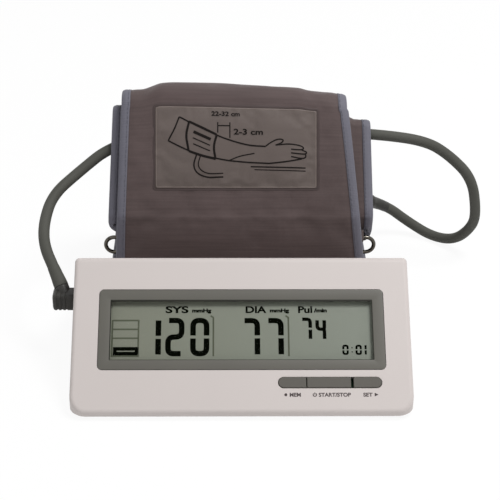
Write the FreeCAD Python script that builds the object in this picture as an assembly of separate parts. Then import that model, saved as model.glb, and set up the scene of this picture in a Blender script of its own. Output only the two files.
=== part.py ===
import FreeCAD, Part

import math
import os

V = FreeCAD.Vector

# Upper-arm blood pressure monitor: a wedge-shaped desk unit with a wrapped arm cuff behind it.
# Millimetres. +X right, +Y back, +Z up. The origin is the middle of the desk unit's footprint.

# ---------------------------------------------------------------- driving dimensions
# Desk unit, case
CASE_WIDTH = 170.0
CASE_DEPTH = 108.0
CASE_HEIGHT = 54.5
FOOT_PROUD = 1.5
LIP_HEIGHT = 5.5
PANEL_TILT = 38.0
RIDGE_WIDTH = 2.6
BACK_HEIGHT = 15.0
CASE_WALL = 2.4
CASE_CORNER = 8.0
RIDGE_ROUND = 3.2
RIM_ROUND = 2.2
BASE_CHAMFER = 1.2
PARTING_FRONT = 3.4
PARTING_BACK = 8.4
LIP_THICKNESS = 1.0
LIP_RISE = 1.5
LIP_FIT = 0.1
SCREW_INSET_X = 7.0
SCREW_BAY_GAP = 3.1
SCREW_RADIUS = 1.3
SCREW_HEAD_RADIUS = 2.5
SCREW_HEAD_HEIGHT = 1.3
SCREW_LENGTH = 7.5
SCREW_SINK = 0.1
SCREW_CROSS_REACH = 1.6
SCREW_CROSS_HALF = 0.3
SCREW_CROSS_DEPTH = 0.6
SCREW_END_ROOM = 0.5
BOSS_RADIUS = 3.1
FOOT_RADIUS = 4.5
FOOT_RECESS = 0.8
FOOT_EDGE = 0.5
FOOT_INSET_X = 21.0
FOOT_BAY_GAP = 0.6

# Desk unit, window and display (w runs up the sloping panel, n stands out of it)
LENS_WIDTH = 143.4
LENS_HEIGHT = 42.4
LENS_LOW = 21.2
LENS_THICKNESS = 1.2
LENS_ROUND = 2.5
LENS_FIT = 0.15
BORDER_THICKNESS = 0.2
VIEW_WIDTH = 132.1
VIEW_HEIGHT = 31.8
VIEW_LOW = 26.3
VIEW_CLEARANCE = 0.5
GLASS_MARGIN = 2.5
GLASS_THICKNESS = 1.8
REFLECTOR_THICKNESS = 0.6
HOLDER_FRAME = 3.0
ZEBRA_WIDTH = 1.5
ZEBRA_CLEARANCE = 0.3
ZEBRA_INSET = 4.0
SHELF_INSET = 1.0
ASSEMBLY_GAP = 0.1

# Desk unit, circuit board and what it carries
BOARD_DEPTH = 6.0
BOARD_THICKNESS = 1.6
BOARD_WIDTH = 144.0
BOARD_LOW = 10.5
BOARD_HIGH = 70.0
BOARD_BOSS_RADIUS = 2.2
BOARD_SCREW_RADIUS = 0.9
BOARD_SCREW_INSET = 3.0
BOARD_SCREW_HEAD = 1.2
BOARD_SCREW_BITE = 2.5
BAR_SCREW_GAP = 6.0
UPPER_SCREW_GAP = 1.0
SWITCH_SIDE = 6.0
SWITCH_HEIGHT = 2.0
SWITCH_FLOOR = 0.4
PLUNGER_RADIUS = 1.75
BUZZER_RADIUS = 6.0
BUZZER_HEIGHT = 4.0
CHIP_SIDE = 12.0
CHIP_HEIGHT = 1.5
CHIP_BAY_GAP = 2.0
BUZZER_CHIP_GAP = 6.2
SENSOR_SIDE = 8.0
SENSOR_HEIGHT = 4.6
SENSOR_INSET = 2.0

# Desk unit, button bar
BAR_LEFT = 18.1
BAR_RIGHT = 69.2
BAR_MIDDLE = 14.55
BAR_HEIGHT = 5.3
BAR_SPLITS = (32.0, 54.6)
BAR_SPLIT_GAPS = (0.4, 1.3)
BUTTON_PROUD = 0.5
BUTTON_FIT = 0.3
BUTTON_FLANGE = 0.8
BUTTON_FLANGE_THICKNESS = 0.9
BUTTON_TRAVEL = 0.5
BUTTON_EDGE = 0.3

# Desk unit, batteries
CELL_COUNT = 4
CELL_RADIUS = 7.1
CELL_LENGTH = 50.5
CELL_NUB = 1.0
CELL_NUB_RADIUS = 2.7
CELL_SPACING = 0.5
CELL_EDGE = 0.6
SPRING_LENGTH = 5.0
SPRING_RADIUS = 3.6
SPRING_WIRE = 0.35
SPRING_TURNS = 4
SPRING_STEPS = 8
CONTACT_THICKNESS = 0.4
CONTACT_REACH = 5.0
BAY_WALL = 1.8
BAY_SHIFT = 0.5
BAY_INSET = 12.5
COVER_THICKNESS = 1.7
COVER_TONGUE = 1.5
COVER_TONGUE_THICKNESS = 0.9
COVER_FIT = 0.1
COVER_RIB_COUNT = 4
COVER_RIB_PITCH = 3.0
COVER_RIB_WIDTH = 1.2
COVER_RIB_HALF = 9.0
COVER_RIB_DEPTH = 0.4
RAIL_ROOF = 1.6

# Desk unit, air system
PUMP_INSET = 25.0
HEAD_RADIUS = 13.5
HEAD_LENGTH = 24.0
MOTOR_RADIUS = 12.0
MOTOR_LENGTH = 30.0
MOTOR_WALL = 1.0
SHAFT_RADIUS = 1.0
SHAFT_FIT = 0.05
CRADLE_GAP = 1.1
CRADLE_RIB_HALF = 1.0
SLEEVE_INSET = 3.0
SHAFT_OUT = 6.0
SHAFT_INSIDE = 0.5
ARMATURE_CLEARANCE = 2.0
ARMATURE_START = 5.0
COMMUTATOR_START = 7.0
COMMUTATOR_LENGTH = 4.0
COMMUTATOR_RADIUS = 3.0
HUB_RADIUS = 5.0
HUB_START = 5.0
HUB_LENGTH = 4.0
CRANK_RADIUS = 1.2
CRANK_OFFSET = 2.6
CRANK_LENGTH = 2.0
CHAMBER_START = 3.0
CHAMBER_LENGTH = 5.0
CHAMBER_WALL = 3.0
CUP_ROOM_START = 10.0
CUP_ROOM_WALL = 2.0
CUP_COUNT = 3
CUP_CIRCLE = 6.0
CUP_RADIUS = 3.2
CUP_HEIGHT = 5.2
CUP_WALL = 0.8
CUP_ROOF = 1.0
CUP_DISC = 1.2
FLAP_HOLE_RADIUS = 1.0
DRIVE_PLATE_THICKNESS = 1.5
DRIVE_PLATE_CLEARANCE = 1.5
OUTLET_OFFSET = 9.0
BARB_RADIUS = 1.6
BARB_BORE = 0.8
BRANCH_BORE = 0.65
PUMP_BARB_LENGTH = 5.0
BARB_LENGTH = 4.0
SOCKET_SETBACK = 0.7
SOCKET_DROP = 22.2
SOCKET_RADIUS = 4.0
SOCKET_FLANGE = 5.5
SOCKET_BORE = 2.5
SOCKET_DEPTH = 8.0
SOCKET_FLANGE_THICKNESS = 1.2
SOCKET_END_ROOM = 0.3
SEAL_DEPTH = 0.7
SEAL_START = 1.5
SEAL_WIDTH = 1.5
AIRWAY_RADIUS = 1.0
MANIFOLD_SIDE = 10.0
VALVE_LENGTH = 12.5
VALVE_WALL = 0.6
VALVE_END_WALL = 1.0
VALVE_PLUNGER_RADIUS = 2.0
VALVE_PLUNGER_LENGTH = 8.0
VALVE_SEAT_GAP = 0.2
COIL_START = 2.6
VALVE_TRAVEL = 0.6
TUBE_RADIUS = 2.4
TUBE_STRAIGHT = 7.0
TUBE_APPROACH = 3.0

# Cuff
CUFF_GAP = 4.0
CLOTH = 0.9
CORE = 1.8
WRAP_GAP = 1.0
FLOOR_BEND = 10.2
CREASE_BEND = 4.0
TOP_BEND = 3.2
CREASE_RISE = 34.0
CREASE_SETBACK = 3.2
TOP_RISE = 87.0
TOP_SETBACK = 32.0
BACK_SETBACK = 51.0
FLAP_DROP = 46.0
CUFF_HALF_FLOOR = 74.4
CUFF_HALF_TOP = 70.3
FLAP_FLOOR_LEFT = 74.4
FLAP_FLOOR_RIGHT = 74.4
FLAP_RIDGE_LEFT = 68.8
FLAP_RIDGE_RIGHT = 68.9
FLAP_TOP_LEFT = 65.0
FLAP_TOP_RIGHT = 58.7
FLAP_RIDGE_LEVEL = 22.0
BINDING_WIDTH = 4.0
BINDING_THICKNESS = 0.3
BLADDER_HALF = 60.0
PATCH_HALF = 48.0
PATCH_LENGTH = 34.0
PATCH_END_GAP = 4.0
LOOP_MARGIN = 6.0
LABEL_WIDTH = 88.0
LABEL_HEIGHT = 46.5
LABEL_THICKNESS = 0.4
LABEL_MIDDLE_X = -2.3
LABEL_DROP = 1.5

# Cuff ring and the hem that holds it
RING_WIRE = 1.1
RING_HALF_LENGTH = 75.7
RING_HEIGHT = 11.6
RING_FIT = 0.3
HEM_WALL = 1.2
HEM_HALF = 68.5
HEM_DROP = 12.7
HEM_SHIFT = 0.8
HEM_OVERLAP = 1.0

# Air hose and its plug
HOSE_RADIUS = 3.0
PORT_RISE = 12.0
PORT_RADIUS = 4.2
PORT_TANG_HALF = 4.0
PORT_LENGTH = 5.0
PLUG_RADIUS = 4.2
PLUG_LENGTH = 10.0
PLUG_GAP = 0.4
SPIGOT_LENGTH = 6.0
SPIGOT_FIT = 0.05
COLLAR_LENGTH = 6.6
COLLAR_RADIUS = 4.0

# The hose lies as it was put down: from the cuff's back edge it loops out to the right with its
# low point on the table, comes back through the cuff and hangs round to the desk unit's left side.
HOSE_ROUTE = [
    (87.7, 131.2, 20.4),
    (102.2, 131.2, 7.6),
    (116.5, 125.8, 3.3),
    (129.6, 117.3, 7.0),
    (137.8, 109.0, 17.8),
    (138.1, 101.9, 33.0),
    (131.8, 100.9, 54.1),
    (119.3, 102.4, 68.0),
    (103.0, 101.4, 77.0),
    (79.4, 102.6, 81.0),
    (52.0, 101.0, 83.2),
    (6.0, 100.4, 82.6),
    (-40.0, 98.5, 79.8),
    (-71.0, 94.0, 74.6),
    (-89.0, 83.0, 67.4),
    (-100.5, 67.5, 60.6),
    (-105.5, 50.0, 54.8),
    (-104.2, 33.5, 48.8),
    (-97.5, 20.0, 42.5),
]


# ---------------------------------------------------------------- small shape makers
def box(x0, x1, y0, y1, z0, z1):
    """Block between two corners."""
    return Part.makeBox(x1 - x0, y1 - y0, z1 - z0, V(x0, y0, z0))


def rod(radius, start, end):
    """Round bar from one point to another."""
    axis = end.sub(start)
    return Part.makeCylinder(radius, axis.Length, start, axis)


def pipe(outer, inner, start, end):
    """Round bar with a bore right through it."""
    return rod(outer, start, end).cut(rod(inner, start, end))


def rounded_plate(x0, x1, y0, y1, z0, z1, radius):
    """Block with its four upright edges rounded."""
    plate = box(x0, x1, y0, y1, z0, z1)
    upright = [e for e in plate.Edges if abs(e.Vertexes[0].Z - e.Vertexes[1].Z) > 1e-6]
    return plate.makeFillet(radius, upright)


def pill(x0, x1, y_middle, half, z0, z1):
    """Flat bar with half-round ends."""
    bar = box(x0 + half, x1 - half, y_middle - half, y_middle + half, z0, z1)
    ends = [rod(half, V(x, y_middle, z0), V(x, y_middle, z1)) for x in (x0 + half, x1 - half)]
    return bar.multiFuse(ends).removeSplitter()


def prism_x(outline, x0, x1):
    """Outline of (y, z) points drawn out along X."""
    points = [V(x0, y, z) for y, z in outline]
    return Part.Face(Part.makePolygon(points + points[:1])).extrude(V(x1 - x0, 0, 0))


def prism_y(outline, y0, y1):
    """Outline of (x, z) points drawn out along Y."""
    points = [V(x, y0, z) for x, z in outline]
    return Part.Face(Part.makePolygon(points + points[:1])).extrude(V(0, y1 - y0, 0))


def arch(x0, x1, y0, y1, z0, z1, radius):
    """Block along X with its two upper long edges rounded."""
    block = box(x0, x1, y0, y1, z0, z1)
    top = [e for e in block.Edges
           if min(v.Z for v in e.Vertexes) > z1 - 1e-6 and abs(e.Vertexes[0].Y - e.Vertexes[1].Y) < 1e-6]
    return block.makeFillet(radius, top)


def bent_pipe(points, outer, inner, tangent_share=0.45):
    """Solid tube, or hollow pipe, whose straight runs are joined by tangent arcs."""
    edges, radii, length = [], [], 0.0
    here = points[0]
    for before, corner, after in zip(points, points[1:], points[2:]):
        back, ahead = before.sub(corner), after.sub(corner)
        reach = tangent_share * min(back.Length, ahead.Length)
        half_turn = (math.pi - back.getAngle(ahead)) / 2
        radius = reach / math.tan(half_turn)
        inward = V(back).normalize().add(V(ahead).normalize()).normalize()
        start = corner.add(V(back).normalize().multiply(reach))
        end = corner.add(V(ahead).normalize().multiply(reach))
        middle = corner.add(inward.multiply(radius / math.cos(half_turn) - radius))
        edges.append(Part.LineSegment(here, start).toShape())
        edges.append(Part.Arc(start, middle, end).toShape())
        length += start.sub(here).Length + radius * 2 * half_turn
        radii.append(round(radius, 1))
        here = end
    edges.append(Part.LineSegment(here, points[-1]).toShape())
    length += points[-1].sub(here).Length
    path = Part.Wire(edges)
    along = points[1].sub(points[0])

    def swept(radius):
        section = Part.Wire(Part.makeCircle(radius, points[0], along))
        return path.makePipeShell([section], True, False)

    solid = swept(outer)
    if inner:
        solid = solid.cut(swept(inner))
    return solid, radii, length


def spring(radius, wire, length, turns, start_x, y, z):
    """Coil spring with its axis along X, made of short runs and tangent arcs."""
    count = turns * SPRING_STEPS
    rise = (length - 2 * wire) / count
    points = []
    for k in range(count + 1):
        angle = 2 * math.pi * k / SPRING_STEPS
        points.append(V(start_x + wire + rise * k, y + radius * math.cos(angle), z + radius * math.sin(angle)))
    return bent_pipe(points, wire, 0)[0]


# ---------------------------------------------------------------- the case's form
HALF_W = CASE_WIDTH / 2
HALF_D = CASE_DEPTH / 2
TILT = math.radians(PANEL_TILT)
RIDGE_FRONT = -HALF_D + (CASE_HEIGHT - LIP_HEIGHT) / math.tan(TILT)
RIDGE_BACK = RIDGE_FRONT + RIDGE_WIDTH
CASE_OUTLINE = [
    (-HALF_D, FOOT_PROUD),
    (HALF_D, FOOT_PROUD),
    (HALF_D, BACK_HEIGHT),
    (RIDGE_BACK, CASE_HEIGHT),
    (RIDGE_FRONT, CASE_HEIGHT),
    (-HALF_D, LIP_HEIGHT),
]
FLOOR_TOP = FOOT_PROUD + CASE_WALL
FAR = 4 * (CASE_WIDTH + CASE_DEPTH)
PANEL = FreeCAD.Placement(V(0, -HALF_D, LIP_HEIGHT), FreeCAD.Rotation(V(1, 0, 0), PANEL_TILT))


def on_panel(shape):
    """Move a shape drawn in panel terms (x, w, n) to its place in the case."""
    placed = shape.copy()
    placed.Placement = PANEL.multiply(placed.Placement)
    return placed


def inset_outline(outline, inset):
    """Part of a convex outline that lies at least inset inside each of its sides."""
    kept = outline
    for (y0, z0), (y1, z1) in zip(outline, outline[1:] + outline[:1]):
        run = math.hypot(y1 - y0, z1 - z0)

        def depth(point):
            return ((y1 - y0) * (point[1] - z0) - (z1 - z0) * (point[0] - y0)) / run - inset

        clipped = []
        for here, after in zip(kept, kept[1:] + kept[:1]):
            d0, d1 = depth(here), depth(after)
            if d0 > 1e-9:
                clipped.append(here)
            if (d0 > 1e-9) != (d1 > 1e-9):
                share = d0 / (d0 - d1)
                clipped.append((here[0] + share * (after[0] - here[0]), here[1] + share * (after[1] - here[1])))
        kept = clipped
    return kept


def case_block(inset):
    """The case's form without its rim rounding, moved inwards by inset."""
    outline = inset_outline(CASE_OUTLINE, inset) if inset else CASE_OUTLINE
    block = prism_x(outline, inset - HALF_W, HALF_W - inset)
    ridge = [e for e in block.Edges
             if abs(e.Vertexes[0].X - e.Vertexes[1].X) > 1 and e.Vertexes[0].Z > CASE_HEIGHT - inset - 1e-3]
    block = block.makeFillet(max(RIDGE_ROUND - inset, 0.5), ridge)
    plan = rounded_plate(inset - HALF_W, HALF_W - inset, inset - HALF_D, HALF_D - inset,
                         0, 2 * CASE_HEIGHT, max(CASE_CORNER - inset, 0.5))
    return block.common(plan)


def plan_distance(point):
    """How far inside the case's plan outline a point lies."""
    corner = CASE_CORNER
    dx = abs(point.x) - (HALF_W - corner)
    dy = abs(point.y) - (HALF_D - corner)
    if dx > 0 and dy > 0:
        return corner - math.hypot(dx, dy)
    return corner - max(dx, dy)


def case_solid():
    """The case's outer form with its rim rounded and its base edge chamfered."""
    block = case_block(0)
    rim = []
    for edge in block.Edges:
        first, last = edge.ParameterRange
        points = [edge.valueAt(first + (last - first) * k / 4) for k in range(5)]
        flat_travel = math.hypot(points[0].x - points[4].x, points[0].y - points[4].y)
        if flat_travel > 0.01 and min(p.z for p in points) > FOOT_PROUD + 0.1:
            if max(abs(plan_distance(p)) for p in points) < 1e-3:
                rim.append(edge)
    block = block.makeFillet(RIM_ROUND, rim)
    base = [e for e in block.Edges if max(v.Z for v in e.Vertexes) < FOOT_PROUD + 1e-6]
    return block.makeChamfer(BASE_CHAMFER, base)


def below_parting(rise):
    """Everything under the plane where the two case halves meet, raised by rise."""
    slope = (PARTING_BACK - PARTING_FRONT) / CASE_DEPTH
    middle = (PARTING_BACK + PARTING_FRONT) / 2 + rise
    return prism_x([(-FAR, -FAR), (FAR, -FAR), (FAR, middle + slope * FAR), (-FAR, middle - slope * FAR)],
                   -FAR, FAR)


OUTER = case_solid()
CAVITY = case_block(CASE_WALL)

# ---------------------------------------------------------------- places shared by several pieces
LENS_HIGH = LENS_LOW + LENS_HEIGHT
VIEW_HIGH = VIEW_LOW + VIEW_HEIGHT
RECESS_DEPTH = LENS_THICKNESS + BORDER_THICKNESS
GLASS_TOP = -(CASE_WALL + ASSEMBLY_GAP)
GLASS_BOTTOM = GLASS_TOP - GLASS_THICKNESS
GLASS_HALF = VIEW_WIDTH / 2 + GLASS_MARGIN
GLASS_LOW = VIEW_LOW - GLASS_MARGIN
GLASS_HIGH = VIEW_HIGH + GLASS_MARGIN
BOARD_HALF = BOARD_WIDTH / 2
BOARD_UNDER = -(BOARD_DEPTH + BOARD_THICKNESS)
HOLDER_HIGH = GLASS_HIGH + HOLDER_FRAME
UPPER_SCREW_W = HOLDER_HIGH + BOARD_BOSS_RADIUS + UPPER_SCREW_GAP
BOARD_SCREWS = [
    (-BOARD_HALF + BOARD_SCREW_INSET, BAR_MIDDLE),
    (BAR_LEFT - BOARD_BOSS_RADIUS - BAR_SCREW_GAP, BAR_MIDDLE),
    (-BOARD_HALF + BOARD_SCREW_INSET, UPPER_SCREW_W),
    (BOARD_HALF - BOARD_SCREW_INSET, UPPER_SCREW_W),
]

BAY_MIDDLE_Y = HALF_D / 6 - BAY_SHIFT
BAY_RIGHT = HALF_W - BAY_INSET
BAY_LEFT = BAY_RIGHT - (CELL_LENGTH + SPRING_LENGTH + 2 * CONTACT_THICKNESS + 2 * ASSEMBLY_GAP)
CHIP_LEFT = BAY_LEFT - BAY_WALL - CHIP_BAY_GAP - CHIP_SIDE
CELL_PITCH = 2 * CELL_RADIUS + CELL_SPACING
BAY_HALF = CELL_COUNT * CELL_PITCH / 2
BAY_FRONT = BAY_MIDDLE_Y - BAY_HALF
BAY_BACK = BAY_MIDDLE_Y + BAY_HALF
COVER_BACK = BAY_BACK + COVER_TONGUE
SCREW_Y = COVER_BACK + SCREW_BAY_GAP + SCREW_HEAD_RADIUS
FOOT_Y = COVER_BACK + FOOT_BAY_GAP + FOOT_RADIUS
SCREW_PLACES = [(sx * (HALF_W - SCREW_INSET_X), sy * SCREW_Y) for sx in (-1, 1) for sy in (-1, 1)]
FOOT_PLACES = [(sx * (HALF_W - FOOT_INSET_X), sy * FOOT_Y) for sx in (-1, 1) for sy in (-1, 1)]
COVER_TOP = FOOT_PROUD + COVER_THICKNESS
CELL_Z = COVER_TOP + 2 * ASSEMBLY_GAP + CELL_RADIUS
BAY_TOP = CELL_Z + CELL_RADIUS + 2 * ASSEMBLY_GAP
CELL_YS = [BAY_FRONT + CELL_PITCH * (k + 0.5) for k in range(CELL_COUNT)]

SOCKET_Y = RIDGE_FRONT - SOCKET_SETBACK
SOCKET_Z = CASE_HEIGHT - SOCKET_DROP
PUMP_Y = SOCKET_Y + OUTLET_OFFSET
PUMP_Z = FLOOR_TOP + CRADLE_GAP + HEAD_RADIUS
HEAD_LEFT = -HALF_W + PUMP_INSET
MOTOR_LEFT = HEAD_LEFT + HEAD_LENGTH
MOTOR_RIGHT = MOTOR_LEFT + MOTOR_LENGTH
MANIFOLD_LEFT = -HALF_W + SOCKET_DEPTH
MANIFOLD_X = MANIFOLD_LEFT + MANIFOLD_SIDE / 2
VALVE_FRONT = SOCKET_Y + MANIFOLD_SIDE / 2
SENSOR_X = MOTOR_LEFT
SENSOR_W = BOARD_HIGH - SENSOR_SIDE - SENSOR_INSET


# ---------------------------------------------------------------- desk unit: case
def upper_case():
    """Panel, back and upper sides in one shell, with its pockets, slots and bosses."""
    shell = OUTER.cut(CAVITY).cut(below_parting(0))
    recess = rounded_plate(-LENS_WIDTH / 2 - LENS_FIT, LENS_WIDTH / 2 + LENS_FIT,
                           LENS_LOW - LENS_FIT, LENS_HIGH + LENS_FIT,
                           -RECESS_DEPTH, CASE_WALL, LENS_ROUND + LENS_FIT)
    opening = box(-VIEW_WIDTH / 2 - VIEW_CLEARANCE, VIEW_WIDTH / 2 + VIEW_CLEARANCE,
                  VIEW_LOW - VIEW_CLEARANCE, VIEW_HIGH + VIEW_CLEARANCE, -2 * CASE_WALL, 0)
    slot = pill(BAR_LEFT - BUTTON_FIT, BAR_RIGHT + BUTTON_FIT, BAR_MIDDLE,
                BAR_HEIGHT / 2 + BUTTON_FIT, -2 * CASE_WALL, CASE_WALL)
    shell = shell.cut(on_panel(recess)).cut(on_panel(opening)).cut(on_panel(slot))
    bosses = [on_panel(rod(BOARD_BOSS_RADIUS, V(x, w, -CASE_WALL / 2), V(x, w, -BOARD_DEPTH)))
              for x, w in BOARD_SCREWS]
    within = case_block(CASE_WALL / 2)
    for x, y in SCREW_PLACES:
        post = rod(BOSS_RADIUS, V(x, y, FLOOR_TOP + ASSEMBLY_GAP), V(x, y, CASE_HEIGHT))
        bosses.append(post.common(within))
    shell = shell.multiFuse(bosses)
    for x, w in BOARD_SCREWS:
        shell = shell.cut(on_panel(rod(BOARD_SCREW_RADIUS, V(x, w, -CASE_WALL), V(x, w, -2 * BOARD_DEPTH))))
    for x, y in SCREW_PLACES:
        shell = shell.cut(rod(SCREW_RADIUS, V(x, y, 0), V(x, y, FOOT_PROUD + SCREW_LENGTH + SCREW_END_ROOM)))
    hole = rod(SOCKET_RADIUS + ASSEMBLY_GAP, V(-HALF_W - 1, SOCKET_Y, SOCKET_Z),
               V(-HALF_W + CASE_WALL + 1, SOCKET_Y, SOCKET_Z))
    return shell.cut(hole).removeSplitter()


def lower_case():
    """Base tray with its joint lip, battery bay, cover rails and pump cradle."""
    tray = OUTER.cut(CAVITY).common(below_parting(0))
    inside = CASE_WALL + LIP_FIT + LIP_THICKNESS
    middle = rounded_plate(inside - HALF_W, HALF_W - inside, inside - HALF_D, HALF_D - inside,
                           -FAR, FAR, max(CASE_CORNER - inside, 0.5))
    lip = case_block(CASE_WALL + LIP_FIT).cut(middle).common(below_parting(LIP_RISE)).cut(below_parting(0))
    root = case_block(CASE_WALL / 2).cut(middle).common(below_parting(0)).cut(below_parting(-LIP_THICKNESS))
    roof_top = COVER_TOP + COVER_FIT + RAIL_ROOF
    rail_front = BAY_FRONT - COVER_TONGUE - BAY_WALL
    rail_back = BAY_BACK + COVER_TONGUE + BAY_WALL
    roof = box(BAY_LEFT - BAY_WALL, HALF_W - CASE_WALL / 2, rail_front, rail_back, FOOT_PROUD, roof_top)
    roof = roof.common(below_parting(0).fuse(CAVITY))
    bay = arch(BAY_LEFT - BAY_WALL, BAY_RIGHT + BAY_WALL, BAY_FRONT - BAY_WALL, BAY_BACK + BAY_WALL,
               FOOT_PROUD, BAY_TOP + BAY_WALL, CELL_RADIUS + BAY_WALL)
    pieces = [lip, root, roof, bay]
    for x in (MOTOR_LEFT + MOTOR_LENGTH / 4, MOTOR_LEFT + 3 * MOTOR_LENGTH / 4):
        pieces.append(box(x - CRADLE_RIB_HALF, x + CRADLE_RIB_HALF, PUMP_Y - HEAD_RADIUS, PUMP_Y + HEAD_RADIUS,
                          FOOT_PROUD, PUMP_Z))
    tray = tray.multiFuse(pieces)
    tray = tray.cut(rod(HEAD_RADIUS + ASSEMBLY_GAP, at_pump(HEAD_LEFT), at_pump(MOTOR_RIGHT)))
    tray = tray.cut(arch(BAY_LEFT, BAY_RIGHT, BAY_FRONT, BAY_BACK, 0, BAY_TOP, CELL_RADIUS))
    tray = tray.cut(box(BAY_LEFT, FAR, BAY_FRONT, BAY_BACK, 0, COVER_TOP + COVER_FIT))
    groove_low = COVER_TOP - COVER_TONGUE_THICKNESS - COVER_FIT
    tray = tray.cut(box(BAY_LEFT - COVER_FIT, FAR, BAY_FRONT - COVER_TONGUE, BAY_BACK + COVER_TONGUE,
                        groove_low, COVER_TOP + COVER_FIT))
    for x, y in SCREW_PLACES:
        tray = tray.cut(rod(SCREW_RADIUS + ASSEMBLY_GAP, V(x, y, 0), V(x, y, CASE_HEIGHT)))
        tray = tray.cut(rod(SCREW_HEAD_RADIUS + ASSEMBLY_GAP, V(x, y, 0),
                            V(x, y, FOOT_PROUD + SCREW_HEAD_HEIGHT)))
    for x, y in FOOT_PLACES:
        tray = tray.cut(rod(FOOT_RADIUS, V(x, y, 0), V(x, y, FOOT_PROUD + FOOT_RECESS)))
    return tray.removeSplitter()


def case_screws():
    """Self-tapping screws that hold the two halves together from below."""
    screws = []
    low = FOOT_PROUD + SCREW_SINK
    reach, half, roof = SCREW_CROSS_REACH, SCREW_CROSS_HALF, low + SCREW_CROSS_DEPTH
    for x, y in SCREW_PLACES:
        head = rod(SCREW_HEAD_RADIUS, V(x, y, low), V(x, y, FOOT_PROUD + SCREW_HEAD_HEIGHT))
        shank = rod(SCREW_RADIUS, V(x, y, low), V(x, y, FOOT_PROUD + SCREW_LENGTH))
        along = box(x - reach, x + reach, y - half, y + half, 0, roof)
        across = box(x - half, x + half, y - reach, y + reach, 0, roof)
        screws.append(head.fuse(shank).cut(along).cut(across).removeSplitter())
    return Part.makeCompound(screws)


def rubber_feet():
    """Four round feet in shallow recesses."""
    feet = []
    for x, y in FOOT_PLACES:
        foot = rod(FOOT_RADIUS, V(x, y, 0), V(x, y, FOOT_PROUD + FOOT_RECESS))
        sole = [e for e in foot.Edges if e.BoundBox.ZMax < 1e-6]
        feet.append(foot.makeFillet(FOOT_EDGE, sole))
    return Part.makeCompound(feet)


# ---------------------------------------------------------------- desk unit: window and display
def display_lens():
    """Clear window flush with the panel."""
    lens = rounded_plate(-LENS_WIDTH / 2, LENS_WIDTH / 2, LENS_LOW, LENS_HIGH, -LENS_THICKNESS, 0, LENS_ROUND)
    return on_panel(lens)


def lens_border():
    """Grey frame behind the window's edge."""
    frame = rounded_plate(-LENS_WIDTH / 2, LENS_WIDTH / 2, LENS_LOW, LENS_HIGH,
                          -RECESS_DEPTH, -LENS_THICKNESS, LENS_ROUND)
    view = box(-VIEW_WIDTH / 2, VIEW_WIDTH / 2, VIEW_LOW, VIEW_HIGH, -2 * RECESS_DEPTH, 0)
    return on_panel(frame.cut(view))


def lcd_glass():
    """The liquid crystal cell."""
    return on_panel(box(-GLASS_HALF, GLASS_HALF, GLASS_LOW, GLASS_HIGH, GLASS_BOTTOM, GLASS_TOP))


def lcd_reflector():
    """Bright film behind the liquid crystal cell."""
    return on_panel(box(-VIEW_WIDTH / 2, VIEW_WIDTH / 2, VIEW_LOW + SHELF_INSET, VIEW_HIGH - SHELF_INSET,
                        GLASS_BOTTOM - REFLECTOR_THICKNESS, GLASS_BOTTOM))


def lcd_holder():
    """Moulded frame that locates the display on the board, with a shelf under the reflector."""
    half = GLASS_HALF + HOLDER_FRAME
    fit = ASSEMBLY_GAP
    holder = box(-half, half, GLASS_LOW - HOLDER_FRAME, HOLDER_HIGH, -BOARD_DEPTH, GLASS_TOP)
    holder = holder.cut(box(-GLASS_HALF - fit, GLASS_HALF + fit, GLASS_LOW - fit, GLASS_HIGH + fit,
                            -2 * BOARD_DEPTH, 0))
    shelf = box(-GLASS_HALF - SHELF_INSET, GLASS_HALF + SHELF_INSET, VIEW_LOW + SHELF_INSET,
                VIEW_HIGH - SHELF_INSET, -BOARD_DEPTH, GLASS_BOTTOM - REFLECTOR_THICKNESS)
    return on_panel(holder.fuse(shelf).removeSplitter())


def zebra_strips():
    """Striped rubber contacts between the board and the glass, above and below the view."""
    strips = []
    for low in (VIEW_LOW - ZEBRA_WIDTH - ZEBRA_CLEARANCE, VIEW_HIGH + ZEBRA_CLEARANCE):
        strips.append(on_panel(box(-VIEW_WIDTH / 2 + ZEBRA_INSET, VIEW_WIDTH / 2 - ZEBRA_INSET,
                                   low, low + ZEBRA_WIDTH, -BOARD_DEPTH, GLASS_BOTTOM)))
    return Part.makeCompound(strips)


# ---------------------------------------------------------------- desk unit: board
def main_board():
    """Printed circuit board, parallel to the panel."""
    board = box(-BOARD_HALF, BOARD_HALF, BOARD_LOW, BOARD_HIGH, BOARD_UNDER, -BOARD_DEPTH)
    for x, w in BOARD_SCREWS:
        board = board.cut(rod(BOARD_SCREW_RADIUS + ASSEMBLY_GAP, V(x, w, 2 * BOARD_UNDER), V(x, w, 0)))
    return on_panel(board)


def board_screws():
    """Small screws from behind the board into the case's bosses."""
    screws = []
    for x, w in BOARD_SCREWS:
        foot = V(x, w, BOARD_UNDER - BOARD_SCREW_HEAD)
        head = rod(2 * BOARD_SCREW_RADIUS, foot, V(x, w, BOARD_UNDER))
        shank = rod(BOARD_SCREW_RADIUS, foot, V(x, w, -BOARD_DEPTH + BOARD_SCREW_BITE))
        screws.append(on_panel(head.fuse(shank).removeSplitter()))
    return Part.makeCompound(screws)


def button_middles():
    """Middle of each button along the bar."""
    edges = [BAR_LEFT, *BAR_SPLITS, BAR_RIGHT]
    return [(a + b) / 2 for a, b in zip(edges, edges[1:])]


def tact_switches():
    """Three push switches on the board, each with a bore for its plunger."""
    top = -BOARD_DEPTH + SWITCH_HEIGHT
    half = SWITCH_SIDE / 2
    bodies = []
    for x in button_middles():
        body = box(x - half, x + half, BAR_MIDDLE - half, BAR_MIDDLE + half, -BOARD_DEPTH, top)
        bore = rod(PLUNGER_RADIUS + SHAFT_FIT, V(x, BAR_MIDDLE, -BOARD_DEPTH + SWITCH_FLOOR),
                   V(x, BAR_MIDDLE, 0))
        bodies.append(on_panel(body.cut(bore)))
    return Part.makeCompound(bodies)


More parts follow.
